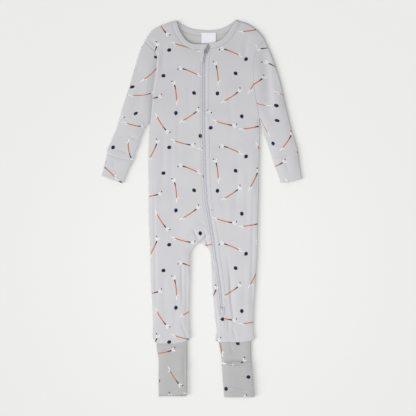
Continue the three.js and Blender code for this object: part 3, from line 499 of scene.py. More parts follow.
@dataclass(frozen=True)
class Fold:
    """A trough or ridge pressed into the cloth along a bowed line, in millimetres.

    near is its half width on the left of a line that runs down the page, and far on its right. A
    positive bow shifts the middle of such a line to the left.
    """

    start: tuple
    end: tuple
    bow: float
    near: float
    far: float
    height: float
    fading: float = 0.7

    def lift(self, x: np.ndarray, y: np.ndarray) -> np.ndarray:
        """Height that the fold adds at each point."""
        dx = self.end[0] - self.start[0]
        dy = self.end[1] - self.start[1]
        long = math.hypot(dx, dy)
        along = ((x - self.start[0]) * dx + (y - self.start[1]) * dy) / long**2
        swell = np.sin(np.pi * np.clip(along, 0, 1))
        side = ((x - self.start[0]) * dy - (y - self.start[1]) * dx) / long - self.bow * swell
        width = np.where(side > 0, self.near, self.far)
        return self.height * np.exp(-((side / width) ** 2)) * swell**self.fading


FRONT_FOLDS = (
    # Armholes and shoulders
    Fold((-91.5, 332), (-109.2, 172), 0.6, 4.4, 1.1, -4.0),
    Fold((-99, 324), (-114, 186), 0.5, 8, 3.0, -0.7),
    Fold((-88.5, 322), (-105.5, 184), 0.3, 1.6, 4, 0.5),
    Fold((-108, 316), (-125, 192), 0, 9, 7, 1.3),
    Fold((129, 356), (142, 184), -3, 13, 9, -3.2),
    Fold((-78, 350), (-83, 276), 1, 6, 7, -0.9),
    Fold((-112, 356), (-88, 332), 0, 5, 5, -1.2),
    Fold((98, 366), (90, 306), 3, 5, 6, -0.9),
    Fold((-128, 320), (-152, 236), -3, 5, 5, -0.6),
    Fold((150, 300), (164, 232), 2, 5, 5, -0.6),
    # Chest and belly
    Fold((-62, 160), (-57, -30), 4, 6, 6, -0.6),
    Fold((-82, 174), (-86, 20), -3, 5, 6, -0.7),
    Fold((-44, 236), (-49, 88), 3, 5, 5, -0.4),
    Fold((-22, 300), (-26, 160), 2, 6, 6, -0.4),
    Fold((54, 262), (60, 130), -4, 6, 7, -0.5),
    Fold((74, 130), (66, -44), -4, 7, 7, -0.7),
    Fold((98, 96), (95, -70), 2, 5, 6, -0.6),
    Fold((34, 60), (52, -48), -3, 5, 6, -0.5),
    Fold((-99.5, 64), (-94, -236), 1, 2.8, 2.6, -1.1),
    Fold((108, 44), (104, -220), 0, 3, 3, -0.9),
    # Crotch
    Fold((-8, -77), (15, -56), 0, 2.6, 2.4, -3.6),
    Fold((-11, -72), (12, -51), 0, 2.2, 2.2, 0.7),
    Fold((-19, -40), (-4, -70), 1, 2.2, 2.6, -1.6),
    Fold((-31, -58), (4, -45), -2, 3, 3, -1.1),
    Fold((-1, -69), (10, -85), 0, 1.8, 2.2, -1.6),
    Fold((5, -42), (27, -132), 1.5, 2.2, 3.4, -2.0),
    Fold((-14, -30), (12, -36), -2, 3, 3, -0.8),
    # Left leg
    Fold((-41.5, -100), (-40, -204), 1, 3, 4, -1.5),
    Fold((-33, -104), (-32, -262), 0, 3, 3, -0.8),
    Fold((-77, -96), (-74, -250), 3, 6, 6, -0.5),
    Fold((-54, -180), (-60, -268), -2, 4, 4, -0.5),
    Fold((-45, -236), (-28, -277), 0, 2.8, 2.8, -1.0),
    Fold((-60, -262), (-34, -279), 1, 2.4, 2.4, -1.0),
    Fold((-94, -260), (-86, -282), 0, 2.4, 2.4, -0.8),
    # Right leg
    Fold((61, -118), (69, -248), 4, 2.4, 6, -1.7),
    Fold((53, -92), (60, -200), -2, 2.4, 2.6, -0.8),
    Fold((55, -218), (57, -266), 0, 2.6, 3.4, -0.8),
    Fold((30, -214), (36, -276), -1, 2.2, 2.4, -0.9),
    Fold((40, -230), (44, -278), 0, 2, 2.4, -0.9),
    Fold((48, -240), (50, -272), 1, 2, 2, -0.7),
    Fold((64, -248), (73, -278), 0, 2.8, 2.8, -0.8),
    Fold((88, -110), (86, -262), -2, 6, 6, -0.6),
    # Sleeves and cuffs
    Fold((-154, 151.5), (-134, 145), 1, 2.2, 2.6, -1.4),
    Fold((-190, 124), (-150, 112), -4, 3, 3, -0.9),
    Fold((-168, 196), (-140, 172), 3, 4, 4, -0.7),
    Fold((134, 168), (160, 180), -2, 3.4, 4, -0.7),
    Fold((150, 120), (186, 134), -2, 3, 3.4, -0.7),
    Fold((-186, 104), (-178, 72), 1, 3.4, 3.4, -0.6),
    Fold((176, 108), (184, 70), 1, 3.4, 3.4, -0.6),
    # Feet
    Fold((41.6, -281), (42.4, -314), 0, 1.6, 2.0, -2.0),
    Fold((50, -319), (104, -319), 0.8, 1.8, 2.0, -4.2),
    Fold((49, -325.6), (105, -325.6), 1.5, 2.0, 1.8, -2.6),
    Fold((58, -301), (96, -301), -0.5, 2.0, 2.4, -1.4),
    Fold((60, -284), (66, -306), 0, 3, 3, -0.7),
    Fold((52, -346), (102, -349), -1, 2.6, 2.6, -1.0),
    Fold((49, -369), (107, -378), 2, 2.4, 2.8, -1.8),
    Fold((58, -386), (98, -385), -1, 2.2, 2.2, -1.2),
    Fold((-90, -386), (-52, -382), 2, 2.6, 3, -1.4),
    Fold((-80, -330), (-46, -338), -2, 4, 4, -0.6),
    Fold((-38, -296), (-37, -372), 0, 2.6, 2.6, -0.8),
    Fold((-84, -292), (-60, -302), 0, 3, 3, -0.8),
    Fold((-66, -288), (-27, -289), -0.5, 1.9, 1.9, -1.9),
)


@dataclass
class Lie:
    """How the flat garment lies: heights of its front's face and its back's face.

    Lengths are in millimetres. The steps are those in which lines are followed for their distance.
    The row below the binding runs between two shares of the neckline, with a number of points.
    """

    outline: Outline
    folds: tuple = FRONT_FOLDS
    loft: float = 7.0
    front_at_seam: float = 4.75
    back_at_seam: float = 1.65
    curve_in_front: float = 18
    curve_in_back: float = 12
    rise_power: float = 2.2
    lowest: float = 2.9
    softness: float = 0.3
    groove: float = 0.65
    faint_groove: float = 0.12
    deep_groove: float = 1.1
    back_groove: float = 0.65 / 3
    groove_width: float = 1.7
    zip_groove: float = 0.25
    box_groove: float = 1.0
    sewn_width: float = 1.1
    slump: float = 1.4
    slump_reach: float = 70
    slump_power: float = 1.5
    ripple: float = 0.2
    ripple_seed: int = 7
    waves: int = 14
    wave_lengths: tuple = (38, 150)
    edge_step: float = 5.0
    seam_step: float = 4.0
    shoulder_step: float = 8.0
    seam_points: int = 80
    beside_zip: float = 3.7
    zip_row_top: float = 332
    zip_row_points: int = 120
    below_binding: float = 1.3
    neck_row: tuple = (0.02, 0.995, 90)
    box_place: tuple = (43.7, -214.5)
    box_half: tuple = (5.7, 8.5)
    box_rounds: tuple = (1.0, 0.87, 0.74)

    def __post_init__(self) -> None:
        """Draw the lines that the heights depend on."""
        cut = self.outline
        t = np.linspace(0, 1, self.seam_points)
        self.edges = cut.closed_edges()
        self.shoulders = [cut.shoulder(side)(t) for side in Side]
        self._draw_stitch_rows()
        seams = [line for side in Side for line in (np.array(cut.half(side).hem, float),
                                                    cut.cuff_seam(side)(t))]
        armholes = [cut.armhole(side)(t) for side in Side]
        faint = [armholes[1], *(cut.front_seam(side)(t) for side in Side),
                 np.array([cut.seam_top, cut.seam_foot], float)]
        self.front_grooves = (
            (seams, self.groove, self.groove_width),
            (faint, self.faint_groove, self.groove_width),
            (armholes[:1], self.deep_groove, self.groove_width),
            (self.zip_rows, self.zip_groove, self.sewn_width),
            (self.box_rows, self.box_groove, self.sewn_width),
        )
        self.back_seams = [*armholes, cut.back_seam()(t), *seams]
        draw = np.random.RandomState(self.ripple_seed)
        self.wave_way = draw.uniform(0, math.pi, self.waves)
        self.wave_length = draw.uniform(*self.wave_lengths, self.waves)
        self.wave_start = draw.uniform(0, 2 * math.pi, self.waves)

    def _draw_stitch_rows(self) -> None:
        """Rows of topstitching beside the zip, round its end and below the neck binding."""
        cut = self.outline
        y = np.linspace(self.zip_row_top, cut.zip_end, self.zip_row_points)
        shifts = (-self.beside_zip, self.beside_zip)
        self.zip_rows = [np.stack([cut.zip_side(y, side) + shift, y], -1)
                         for side, shift in zip(Side, shifts)]
        box = np.array([(-1, 1), (1, 1), (1, -1), (-1, -1), (-1, 1)]) * self.box_half
        self.box_rows = [self.box_place + box * size for size in self.box_rounds]
        t = np.linspace(*self.neck_row)
        self.neck_rows = []
        for side in Side:
            neck = cut.front_neck(side)(t)
            seam = cut.front_seam(side)(t)
            self.neck_rows.append(seam + (seam - neck) / cut.binding * self.below_binding)

    def _rise(self, x: np.ndarray, y: np.ndarray, reach: float) -> np.ndarray:
        """How far the cloth has risen from the closed edge, from 0 to 1."""
        t = np.minimum(distance_to(self.edges, x, y, self.edge_step) / reach, 1)
        return 1 - (1 - t) ** self.rise_power

    def _ripples(self, x: np.ndarray, y: np.ndarray) -> np.ndarray:
        """Slow uneven swells of relaxed cloth."""
        total = np.zeros_like(x)
        for way, length, start in zip(self.wave_way, self.wave_length, self.wave_start):
            total += np.sin(2 * math.pi * (x * math.cos(way) + y * math.sin(way)) / length + start)
        return total * self.ripple

    def _groove(self, lines: Sequence[np.ndarray], depth: float, width: float, x: np.ndarray,
                y: np.ndarray) -> np.ndarray:
        """Depth by which seams or stitches pull the cloth in."""
        gap = distance_to(lines, x, y, self.seam_step)
        return depth * np.exp(-((gap / width) ** 2))

    def top(self, x: np.ndarray, y: np.ndarray) -> np.ndarray:
        """Height of the front's face."""
        x = np.asarray(x, float)
        y = np.asarray(y, float)
        rise = self._rise(x, y, self.curve_in_front)
        height = self.front_at_seam + (self.loft - self.front_at_seam) * rise
        away = distance_to(self.shoulders, x, y, self.shoulder_step) / self.slump_reach
        slumped = np.clip(1 - away, 0, 1) ** self.slump_power
        height = height + (self._ripples(x, y) - self.slump * slumped) * rise
        for lines, depth, width in self.front_grooves:
            height = height - self._groove(lines, depth, width, x, y)
        for fold in self.folds:
            height = height + fold.lift(x, y)
        return self.lowest + self.softness * np.logaddexp(0, (height - self.lowest) / self.softness)

    def under(self, x: np.ndarray, y: np.ndarray) -> np.ndarray:
        """Height of the back's face, which rests on the surface."""
        x = np.asarray(x, float)
        y = np.asarray(y, float)
        rise = self._rise(x, y, self.curve_in_back)
        groove = self._groove(self.back_seams, self.back_groove, self.groove_width, x, y)
        return np.maximum(self.back_at_seam * (1 - rise) + groove, 0)


# Meshes from grids of points


@dataclass
class Grid:
    """Rows of points in millimetres with their place on the flat cut."""

    places: np.ndarray
    chart: np.ndarray
    turned: bool = False

    def cut_area(self) -> float:
        """Area of the flat cut in square millimetres."""
        a = self.chart[1:, 1:] - self.chart[:-1, :-1]
        b = self.chart[1:, :-1] - self.chart[:-1, 1:]
        return float(np.abs(a[..., 0] * b[..., 1] - a[..., 1] * b[..., 0]).sum() / 2)


def front_grid(flat: np.ndarray, lie: Lie) -> Grid:
    """A grid of the front layer above points of the page."""
    return Grid(with_height(flat, lie.top(flat[..., 0], flat[..., 1])), flat)


def back_grid(flat: np.ndarray, lie: Lie) -> Grid:
    """A grid of the back layer below points of the page."""
    return Grid(with_height(flat, lie.under(flat[..., 0], flat[..., 1])), flat, turned=True)


def remove_extras() -> None:
    """Leave nothing selected and no object active in edit mode."""
    if bpy.context.object is not None and bpy.context.object.mode != "OBJECT":
        bpy.ops.object.mode_set(mode="OBJECT")
    bpy.ops.object.select_all(action="DESELECT")


def make_active(piece: bpy.types.Object) -> None:
    """Select one object alone and make it the active one."""
    remove_extras()
    piece.select_set(True)
    bpy.context.view_layer.objects.active = piece


def add_object(name: str, data: bpy.types.ID) -> bpy.types.Object:
    """A new object in the scene."""
    made = bpy.data.objects.new(name, data)
    bpy.context.scene.collection.objects.link(made)
    return made


def add_bevel(piece: bpy.types.Object, width: float, segments: int, angle: float) -> bpy.types.Modifier:
    """A bevel in millimetres on edges sharper than an angle in degrees."""
    bevel = piece.modifiers.new("rim", "BEVEL")
    bevel.width = width * MM
    bevel.segments = segments
    bevel.limit_method = "ANGLE"
    bevel.angle_limit = math.radians(angle)
    return bevel


def add_wall(piece: bpy.types.Object, thick: float, offset: float) -> bpy.types.Modifier:
    """A wall in millimetres on a sheet of faces, on either side of it or on both."""
    solidify = piece.modifiers.new("wall", "SOLIDIFY")
    solidify.thickness = thick * MM
    solidify.offset = offset
    return solidify


def apply_modifiers(piece: bpy.types.Object) -> None:
    """Apply every modifier of the piece in order."""
    make_active(piece)
    for modifier in list(piece.modifiers):
        bpy.ops.object.modifier_apply(modifier=modifier.name)


def cloth_mesh(name: str, grids: Sequence[Grid]) -> bpy.types.Mesh:
    """The outer face of a cloth piece, with its place on the flat cut as a UV map."""
    weld = 0.02
    sliver = 0.005
    places: list[np.ndarray] = []
    charts: list[np.ndarray] = []
    faces: list[tuple] = []
    offset = 0
    for grid in grids:
        rows, columns = grid.places.shape[:2]
        number = offset + np.arange(rows * columns).reshape(rows, columns)
        corners = [number[:-1, :-1], number[1:, :-1], number[1:, 1:], number[:-1, 1:]]
        if grid.turned:
            corners.reverse()
        faces += [tuple(face) for face in np.stack(corners, -1).reshape(-1, 4).tolist()]
        places.append(grid.places.reshape(-1, 3))
        charts.append(grid.chart.reshape(-1, 2))
        offset += rows * columns
    mesh = bpy.data.meshes.new(name)
    mesh.from_pydata((np.concatenate(places) * MM).tolist(), [], faces)
    mesh.materials.append(None)
    mesh.materials.append(None)
    layer = mesh.uv_layers.new(name="cut")
    index = np.zeros(len(mesh.loops), np.int32)
    mesh.loops.foreach_get("vertex_index", index)
    layer.data.foreach_set("uv", (np.concatenate(charts) * MM)[index].astype(np.float32).ravel())
    shape = bmesh.new()
    shape.from_mesh(mesh)
    bmesh.ops.remove_doubles(shape, verts=shape.verts, dist=weld * MM)
    bmesh.ops.dissolve_degenerate(shape, edges=shape.edges, dist=sliver * MM)
    shape.to_mesh(mesh)
    shape.free()
    return mesh


def cloth_object(name: str, grids: Sequence[Grid], wall: float, round_over: float) -> bpy.types.Object:
    """A thin cloth shell on grids of its outer face.

    Args:
        name: the piece's name.
        grids: the outer face, in one or more grids that share their edges.
        wall: thickness in millimetres.
        round_over: rounding of the rim in millimetres.

    Returns:
        The finished mesh object.
    """
    segments = 2
    sharp_angle = 50
    piece = add_object(name, cloth_mesh(name, grids))
    add_wall(piece, wall, -1).material_offset = 1
    add_bevel(piece, round_over, segments, sharp_angle)
    apply_modifiers(piece)
    bpy.ops.object.shade_smooth()
    return piece


def tube_grid(flat: np.ndarray, lie: Lie, fold_first: bool,
              lift: Callable[[np.ndarray], np.ndarray] | None = None) -> Grid:
    """A flattened tube: front from left to right, round the edge, and back again.

    Args:
        flat: rows of points of the page, from one silhouette to the other.
        lie: heights of the cloth.
        fold_first: whether the flat cut is folded at the first column, and sewn at the last one.
        lift: extra height of the whole tube at each y.

    Returns:
        The closed grid, whose last column lies on its first one.
    """
    rounding = 1.5
    most_of_cell = 0.7
    turn_steps = 5
    front = flat.copy()
    for end, following in ((0, 1), (-1, -2)):
        way = flat[:, following] - flat[:, end]
        long = np.linalg.norm(way, axis=-1, keepdims=True)
        front[:, end] = flat[:, end] + way / long * np.minimum(rounding, long * most_of_cell)
    raised = 0.0 if lift is None else lift(front[..., 1])
    top = lie.top(front[..., 0], front[..., 1]) + raised
    under = lie.under(front[..., 0], front[..., 1]) + raised

    def turn(end: int, from_top: bool) -> np.ndarray:
        angles = np.linspace(90, -90, turn_steps + 2)[1:-1]
        if not from_top:
            angles = -angles
        phi = np.radians(angles)[None, :, None]
        out = flat[:, end, None] - front[:, end, None]
        middle = ((top + under) / 2)[:, end, None, None]
        half = ((top - under) / 2)[:, end, None, None]
        return np.concatenate([front[:, end, None] + out * np.cos(phi), middle + half * np.sin(phi)], -1)

    before = with_height(front, top)
    behind = with_height(front, under)[:, ::-1]
    places = np.concatenate([before, turn(-1, True), behind, turn(0, False), before[:, :1]], 1)
    if not fold_first:
        shift = flat.shape[1] + turn_steps
        places = np.concatenate([places[:, shift:-1], places[:, :shift + 1]], 1)
    run = grid_run(places, 1)
    run -= run[:, -1:] / 2
    middle = flat.mean(1)
    axis = middle[-1] - middle[0]
    axis /= np.linalg.norm(axis)
    return Grid(places, np.stack([run, -(places[..., :2] @ axis)], -1))


# Finishes


def srgb(red: float, green: float, blue: float) -> tuple[float, float, float, float]:
    """A shader colour from the 0 to 255 values seen on a screen."""
    def linear(value: float) -> float:
        share = value / 255
        return share / 12.92 if share <= 0.04045 else ((share + 0.055) / 1.055) ** 2.4

    return linear(red), linear(green), linear(blue), 1.0


class Sketch:
    """A short way to place and join the nodes of one tree."""

    def __init__(self, tree: bpy.types.NodeTree) -> None:
        """Start on a tree."""
        self.tree = tree

    def join(self, value: object, socket: bpy.types.NodeSocket) -> None:
        """Feed a socket from another one, or set its own value."""
        if isinstance(value, bpy.types.NodeSocket):
            self.tree.links.new(value, socket)
        else:
            socket.default_value = value

    def node(self, kind: str, **settings: object) -> bpy.types.Node:
        """A new node with its options set."""
        made = self.tree.nodes.new(kind)
        for name, value in settings.items():
            setattr(made, name, value)
        return made

    def math(self, operation: str, *values: object) -> bpy.types.NodeSocket:
        """The result of a Math node."""
        made = self.node("ShaderNodeMath", operation=operation)
        for value, socket in zip(values, made.inputs):
            self.join(value, socket)
        return made.outputs[0]

    def sum(self, *terms: tuple) -> bpy.types.NodeSocket:
        """The sum of some values, each times its share."""
        total, *others = [self.math("MULTIPLY", value, share) for value, share in terms]
        for other in others:
            total = self.math("ADD", total, other)
        return total

    def vector(self, operation: str, *values: object) -> bpy.types.NodeSocket:
        """The vector result of a Vector Math node."""
        made = self.node("ShaderNodeVectorMath", operation=operation)
        sockets = [made.inputs["Scale"]] if operation == "SCALE" else list(made.inputs)[1:]
        self.join(values[0], made.inputs[0])
        for value, socket in zip(values[1:], sockets):
            self.join(value, socket)
        return made.outputs["Value"] if operation == "LENGTH" else made.outputs["Vector"]

    def parts(self, vector: bpy.types.NodeSocket) -> tuple[bpy.types.NodeSocket, bpy.types.NodeSocket]:
        """X and Y of a vector."""
        made = self.node("ShaderNodeSeparateXYZ")
        self.join(vector, made.inputs[0])
        return made.outputs[0], made.outputs[1]

    def whole(self, x: object, y: object) -> bpy.types.NodeSocket:
        """A vector of X and Y."""
        made = self.node("ShaderNodeCombineXYZ")
        self.join(x, made.inputs[0])
        self.join(y, made.inputs[1])
        return made.outputs[0]

    def step_down(self, value: object, edge: float, softness: float) -> bpy.types.NodeSocket:
        """1 below the edge and 0 above it, with a soft step."""
        made = self.node("ShaderNodeMapRange", interpolation_type="SMOOTHSTEP")
        self.join(value, made.inputs["Value"])
        made.inputs["From Min"].default_value = edge - softness
        made.inputs["From Max"].default_value = edge + softness
        made.inputs["To Min"].default_value = 1
        made.inputs["To Max"].default_value = 0
        return made.outputs["Result"]

    def mix(self, share: object, a: object, b: object, kind: str = "RGBA") -> bpy.types.NodeSocket:
        """A colour or another kind of data between a and b."""
        made = self.node("ShaderNodeMix", data_type=kind)
        *inputs, result = MIX_SOCKETS[kind]
        for value, number in zip((share, a, b), inputs):
            self.join(value, made.inputs[number])
        return made.outputs[result]

    def noise(self, vector: bpy.types.NodeSocket, scale: float,
              detail: float = 2.0) -> bpy.types.NodeSocket:
        """A noise value over the vector."""
        made = self.node("ShaderNodeTexNoise")
        self.join(vector, made.inputs["Vector"])
        made.inputs["Scale"].default_value = scale
        made.inputs["Detail"].default_value = detail
        return made.outputs["Fac"]


def new_group(name: str, inputs: Sequence[tuple], outputs: Sequence[tuple]) -> tuple[Sketch, dict, dict]:
    """A node group with named sockets.

    Args:
        name: the group's name.
        inputs: pairs of a socket name and type.
        outputs: pairs of a socket name and type.

    Returns:
        A sketch of the group, its input sockets and its output sockets, by name.
    """
    tree = bpy.data.node_groups.new(name, "ShaderNodeTree")
    for label, kind in inputs:
        tree.interface.new_socket(label, in_out="INPUT", socket_type=kind)
    for label, kind in outputs:
        tree.interface.new_socket(label, in_out="OUTPUT", socket_type=kind)
    start = tree.nodes.new("NodeGroupInput")
    end = tree.nodes.new("NodeGroupOutput")
    return (Sketch(tree), {label: start.outputs[label] for label, _ in inputs},
            {label: end.inputs[label] for label, _ in outputs})


@dataclass(frozen=True)
class Oval:
    """A small printed oval: its middle, turn in degrees and half lengths, in its motif's own frame."""

    x: float
    y: float
    turn: float
    long: float
    wide: float


@dataclass(frozen=True)
class SprigPrint:
    """A tossed print of slim budded twigs and round berries, in a half-drop repeat of its own.

    A motif is placed by X, Y and a turn in degrees. A twig's stem and band are stretches along it,
    each by its middle and half length.
    """

    width: float = 124
    height: float = 204
    twigs: tuple = ((24, 20, 64), (86, 34, -14), (40, 74, -56), (101, 92, 34), (18, 128, 10),
                    (70, 142, 98), (98, 186, 158))
    berries: tuple = ((56, 26, 20), (70, 98, 80), (108, 140, 140), (44, 176, 10), (6, 68, 60),
                      (121, 50, 100))
    narrowness: tuple = (0.45, 1.0, 0.0)
    far_off: float = 999.0
    edge_softness: float = 0.09
    twig_half: float = 1.2
    twig_softness: float = 0.14
    twig_bend: float = 0.0026
    stem_stretch: tuple = (-3.5, 15.0)
    stem_softness: float = 0.3
    band_stretch: tuple = (8.0, 1.9)
    band_softness: float = 0.4
    shading: float = 0.35
    bud: Oval = Oval(12.4, 0.5, 4, 3.1, 1.5)
    petals: tuple = (Oval(18.6, 3.4, 38, 3.7, 1.2), Oval(20.0, -0.6, -14, 3.9, 1.2),
                     Oval(-23.4, 1.6, -6, 5.2, 1.0), Oval(-18.4, -1.9, 40, 2.6, 0.9))
    seed: Oval = Oval(23.2, 5.4, 0, 1.4, 1.5)
    berry: Oval = Oval(0, 0, 0, 4.3, 3.8)
    # A painted highlight printed on each berry
    berry_light: Oval = Oval(1.2, 1.0, 30, 0.8, 0.55)
    berry_stalk: Oval = Oval(-4.6, 0.3, 0, 1.1, 0.55)
    stem: tuple = srgb(198, 136, 108)
    stem_shade: tuple = srgb(170, 100, 74)
    band: tuple = srgb(96, 82, 76)
    bark: tuple = srgb(92, 48, 38)
    white: tuple = srgb(228, 228, 229)
    navy: tuple = srgb(30, 35, 58)
    # Colour of the painted highlight on each berry
    berry_highlight: tuple = srgb(66, 74, 104)

    def _nearest(self) -> bpy.types.NodeTree:
        """Group that keeps whichever motif lies nearer, with the point seen from that motif."""
        sketch, given, result = new_group(
            "nearest_motif",
            [("Chart", "NodeSocketVector"), ("Best", "NodeSocketVector"), ("Gap", "NodeSocketFloat"),
             ("Place", "NodeSocketVector"), ("Turn", "NodeSocketFloat")],
            [("Best", "NodeSocketVector"), ("Gap", "NodeSocketFloat")])
        x, y = sketch.parts(sketch.vector("SUBTRACT", given["Chart"], given["Place"]))
        column = sketch.math("ROUND", sketch.math("DIVIDE", x, self.width))
        x = sketch.math("SUBTRACT", x, sketch.math("MULTIPLY", column, self.width))
        y = sketch.math("SUBTRACT", y, sketch.math("MULTIPLY", column, self.height / 2))
        row = sketch.math("ROUND", sketch.math("DIVIDE", y, self.height))
        y = sketch.math("SUBTRACT", y, sketch.math("MULTIPLY", row, self.height))
        turn = sketch.node("ShaderNodeVectorRotate", rotation_type="Z_AXIS", invert=True)
        sketch.join(sketch.whole(x, y), turn.inputs["Vector"])
        sketch.join(given["Turn"], turn.inputs["Angle"])
        local = turn.outputs[0]
        gap = sketch.vector("LENGTH", sketch.vector("MULTIPLY", local, self.narrowness))
        nearer = sketch.math("LESS_THAN", gap, given["Gap"])
        sketch.join(sketch.mix(nearer, given["Best"], local, "VECTOR"), result["Best"])
        sketch.join(sketch.math("MINIMUM", gap, given["Gap"]), result["Gap"])
        return sketch.tree

    def _leaf(self) -> bpy.types.NodeTree:
        """Group that masks one small oval."""
        sketch, given, result = new_group(
            "oval", [("Point", "NodeSocketVector"), ("Middle", "NodeSocketVector"),
                     ("Turn", "NodeSocketFloat"), ("Half", "NodeSocketVector")],
            [("Mask", "NodeSocketFloat")])
        turn = sketch.node("ShaderNodeVectorRotate", rotation_type="Z_AXIS", invert=True)
        sketch.join(sketch.vector("SUBTRACT", given["Point"], given["Middle"]), turn.inputs["Vector"])
        sketch.join(given["Turn"], turn.inputs["Angle"])
        size = sketch.vector("LENGTH", sketch.vector("DIVIDE", turn.outputs[0], given["Half"]))
        sketch.join(sketch.step_down(size, 1.0, self.edge_softness), result["Mask"])
        return sketch.tree

    def group(self) -> bpy.types.NodeTree:
        """The whole print: from a place on the cut and the cloth's colour to the printed colour."""
        sketch, given, result = new_group(
            "sprig_print", [("Chart", "NodeSocketVector"), ("Cloth", "NodeSocketColor")],
            [("Color", "NodeSocketColor")])
        nearest = self._nearest()
        oval = self._leaf()

        def copy_of(tree: bpy.types.NodeTree, **values: object) -> bpy.types.Node:
            """A group node with its inputs fed."""
            made = sketch.node("ShaderNodeGroup", node_tree=tree)
            for label, value in values.items():
                sketch.join(value, made.inputs[label])
            return made

        def closest(motifs: Sequence[tuple]) -> bpy.types.NodeSocket:
            """The point seen from the nearest of some motifs."""
            best: object = (self.far_off, self.far_off, 0.0)
            gap: object = self.far_off
            for x, y, turn in motifs:
                made = copy_of(nearest, Chart=given["Chart"], Best=best, Gap=gap, Place=(x, y, 0.0),
                               Turn=math.radians(turn))
                best = made.outputs["Best"]
                gap = made.outputs["Gap"]
            return best

        def spot(point: bpy.types.NodeSocket, mark: Oval) -> bpy.types.NodeSocket:
            """Mask of one oval of the nearest motif."""
            return copy_of(oval, Point=point, Middle=(mark.x, mark.y, 0.0), Turn=math.radians(mark.turn),
                           Half=(mark.long, mark.wide, 1.0)).outputs["Mask"]

        def stretch(middle: float, half: float, softness: float) -> bpy.types.NodeSocket:
            """Mask of a stretch of the twig."""
            away = sketch.math("ABSOLUTE", sketch.math("SUBTRACT", along, middle))
            return sketch.math("MULTIPLY", thin, sketch.step_down(away, half, softness))

        twig = closest(self.twigs)
        along, across = sketch.parts(twig)
        bend = sketch.math("MULTIPLY", sketch.math("MULTIPLY", along, along), self.twig_bend)
        off = sketch.math("ABSOLUTE", sketch.math("SUBTRACT", across, bend))
        thin = sketch.step_down(off, self.twig_half, self.twig_softness)
        stem = sketch.mix(sketch.noise(given["Chart"], self.shading), self.stem, self.stem_shade)
        berry = closest(self.berries)
        color = given["Cloth"]
        for mask, paint in ((stretch(*self.stem_stretch, self.stem_softness), stem),
                            (stretch(*self.band_stretch, self.band_softness), self.band),
                            (spot(twig, self.bud), self.bark),
                            *((spot(twig, petal), self.white) for petal in self.petals),
                            (spot(twig, self.seed), self.bark),
                            (spot(berry, self.berry), self.navy),
                            (spot(berry, self.berry_light), self.berry_highlight),
                            (spot(berry, self.berry_stalk), self.bark)):
            color = sketch.mix(mask, color, paint)
        sketch.join(color, result["Color"])
        return sketch.tree


class Finish:
    """A material made once and given to pieces."""

    def __init__(self, name: str, roughness: float, **constants: float) -> None:
        """Start a material whose constant values sit on the shader's own sockets."""
        self.material = bpy.data.materials.new(name)
        self.material.use_nodes = True
        self.sketch = Sketch(self.material.node_tree)
        self.shader = self.material.node_tree.nodes["Principled BSDF"]
        self.shader.inputs["Roughness"].default_value = roughness
        for label, value in constants.items():
            self.shader.inputs[label.replace("_", " ")].default_value = value

    def color(self, value: object) -> None:
        """Set the base colour."""
        self.sketch.join(value, self.shader.inputs["Base Color"])

    def bump(self, height: bpy.types.NodeSocket, strength: float, distance: float) -> None:
        """Raise the surface by a height of 0 to 1 times a distance in metres."""
        made = self.sketch.node("ShaderNodeBump")
        made.inputs["Strength"].default_value = strength
        made.inputs["Distance"].default_value = distance
        self.sketch.join(height, made.inputs["Height"])
        self.sketch.join(made.outputs["Normal"], self.shader.inputs["Normal"])

    def chart(self) -> bpy.types.NodeSocket:
        """Place on the piece's own flat cut, in millimetres."""
        source = self.sketch.node("ShaderNodeUVMap", uv_map="cut")
        return self.sketch.vector("SCALE", source.outputs["UV"], 1 / MM)

    def place(self) -> bpy.types.NodeSocket:
        """Place in the garment's frame, in millimetres."""
        source = self.sketch.node("ShaderNodeTexCoord")
        return self.sketch.vector("SCALE", source.outputs["Object"], 1 / MM)


@dataclass(frozen=True)
class Knit:
    """Heather jersey knit, plain or printed. Lengths are in millimetres."""

    name: str
    light: tuple
    dark: tuple
    shift: tuple = (0.0, 0.0)
    wale: float = 1.15
    course: float = 0.9
    roughness: float = 0.92
    sheen: float = 0.12
    sheen_roughness: float = 0.45
    specular: float = 0.18
    fibre_stretch: tuple = (1.6, 0.7, 1.0)
    cloud_scale: float = 0.03
    fibre_share: float = 0.7
    lean: float = 1.6
    rib_relief: float = 0.3
    loop_relief: float = 0.2
    fibre_relief: float = 0.5
    strength: float = 0.35
    relief: float = 0.12

    def build(self, pattern: bpy.types.NodeTree | None) -> bpy.types.Material:
        """Make the material.

        Args:
            pattern: the print's node group, or None for plain cloth.

        Returns:
            The material.
        """
        finish = Finish(self.name, self.roughness, Sheen_Weight=self.sheen,
                        Sheen_Roughness=self.sheen_roughness, Specular_IOR_Level=self.specular)
        sketch = finish.sketch
        chart = finish.chart()
        x, y = sketch.parts(chart)
        fibres = sketch.noise(sketch.vector("MULTIPLY", chart, self.fibre_stretch), 1.0, 3.0)
        cloud = sketch.noise(chart, self.cloud_scale)
        mottle = sketch.sum((fibres, self.fibre_share), (cloud, 1 - self.fibre_share))
        color = sketch.mix(mottle, self.dark, self.light)
        if pattern is not None:
            print_node = sketch.node("ShaderNodeGroup", node_tree=pattern)
            sketch.join(sketch.vector("ADD", chart, (*self.shift, 0.0)), print_node.inputs["Chart"])
            sketch.join(color, print_node.inputs["Cloth"])
            color = print_node.outputs["Color"]
        finish.color(color)
        wave = sketch.math("SINE", sketch.math("MULTIPLY", x, math.pi / self.wale))
        lean = sketch.math("MULTIPLY", sketch.math("ABSOLUTE", wave), self.lean)
        rows = sketch.math("MULTIPLY", y, 2 * math.pi / self.course)
        loops = sketch.math("SINE", sketch.math("ADD", rows, lean))
        ribs = sketch.math("COSINE", sketch.math("MULTIPLY", x, 2 * math.pi / self.wale))
        height = sketch.sum((ribs, self.rib_relief), (loops, self.loop_relief),
                            (fibres, self.fibre_relief))
        finish.bump(height, self.strength, self.relief * MM)
        return finish.material


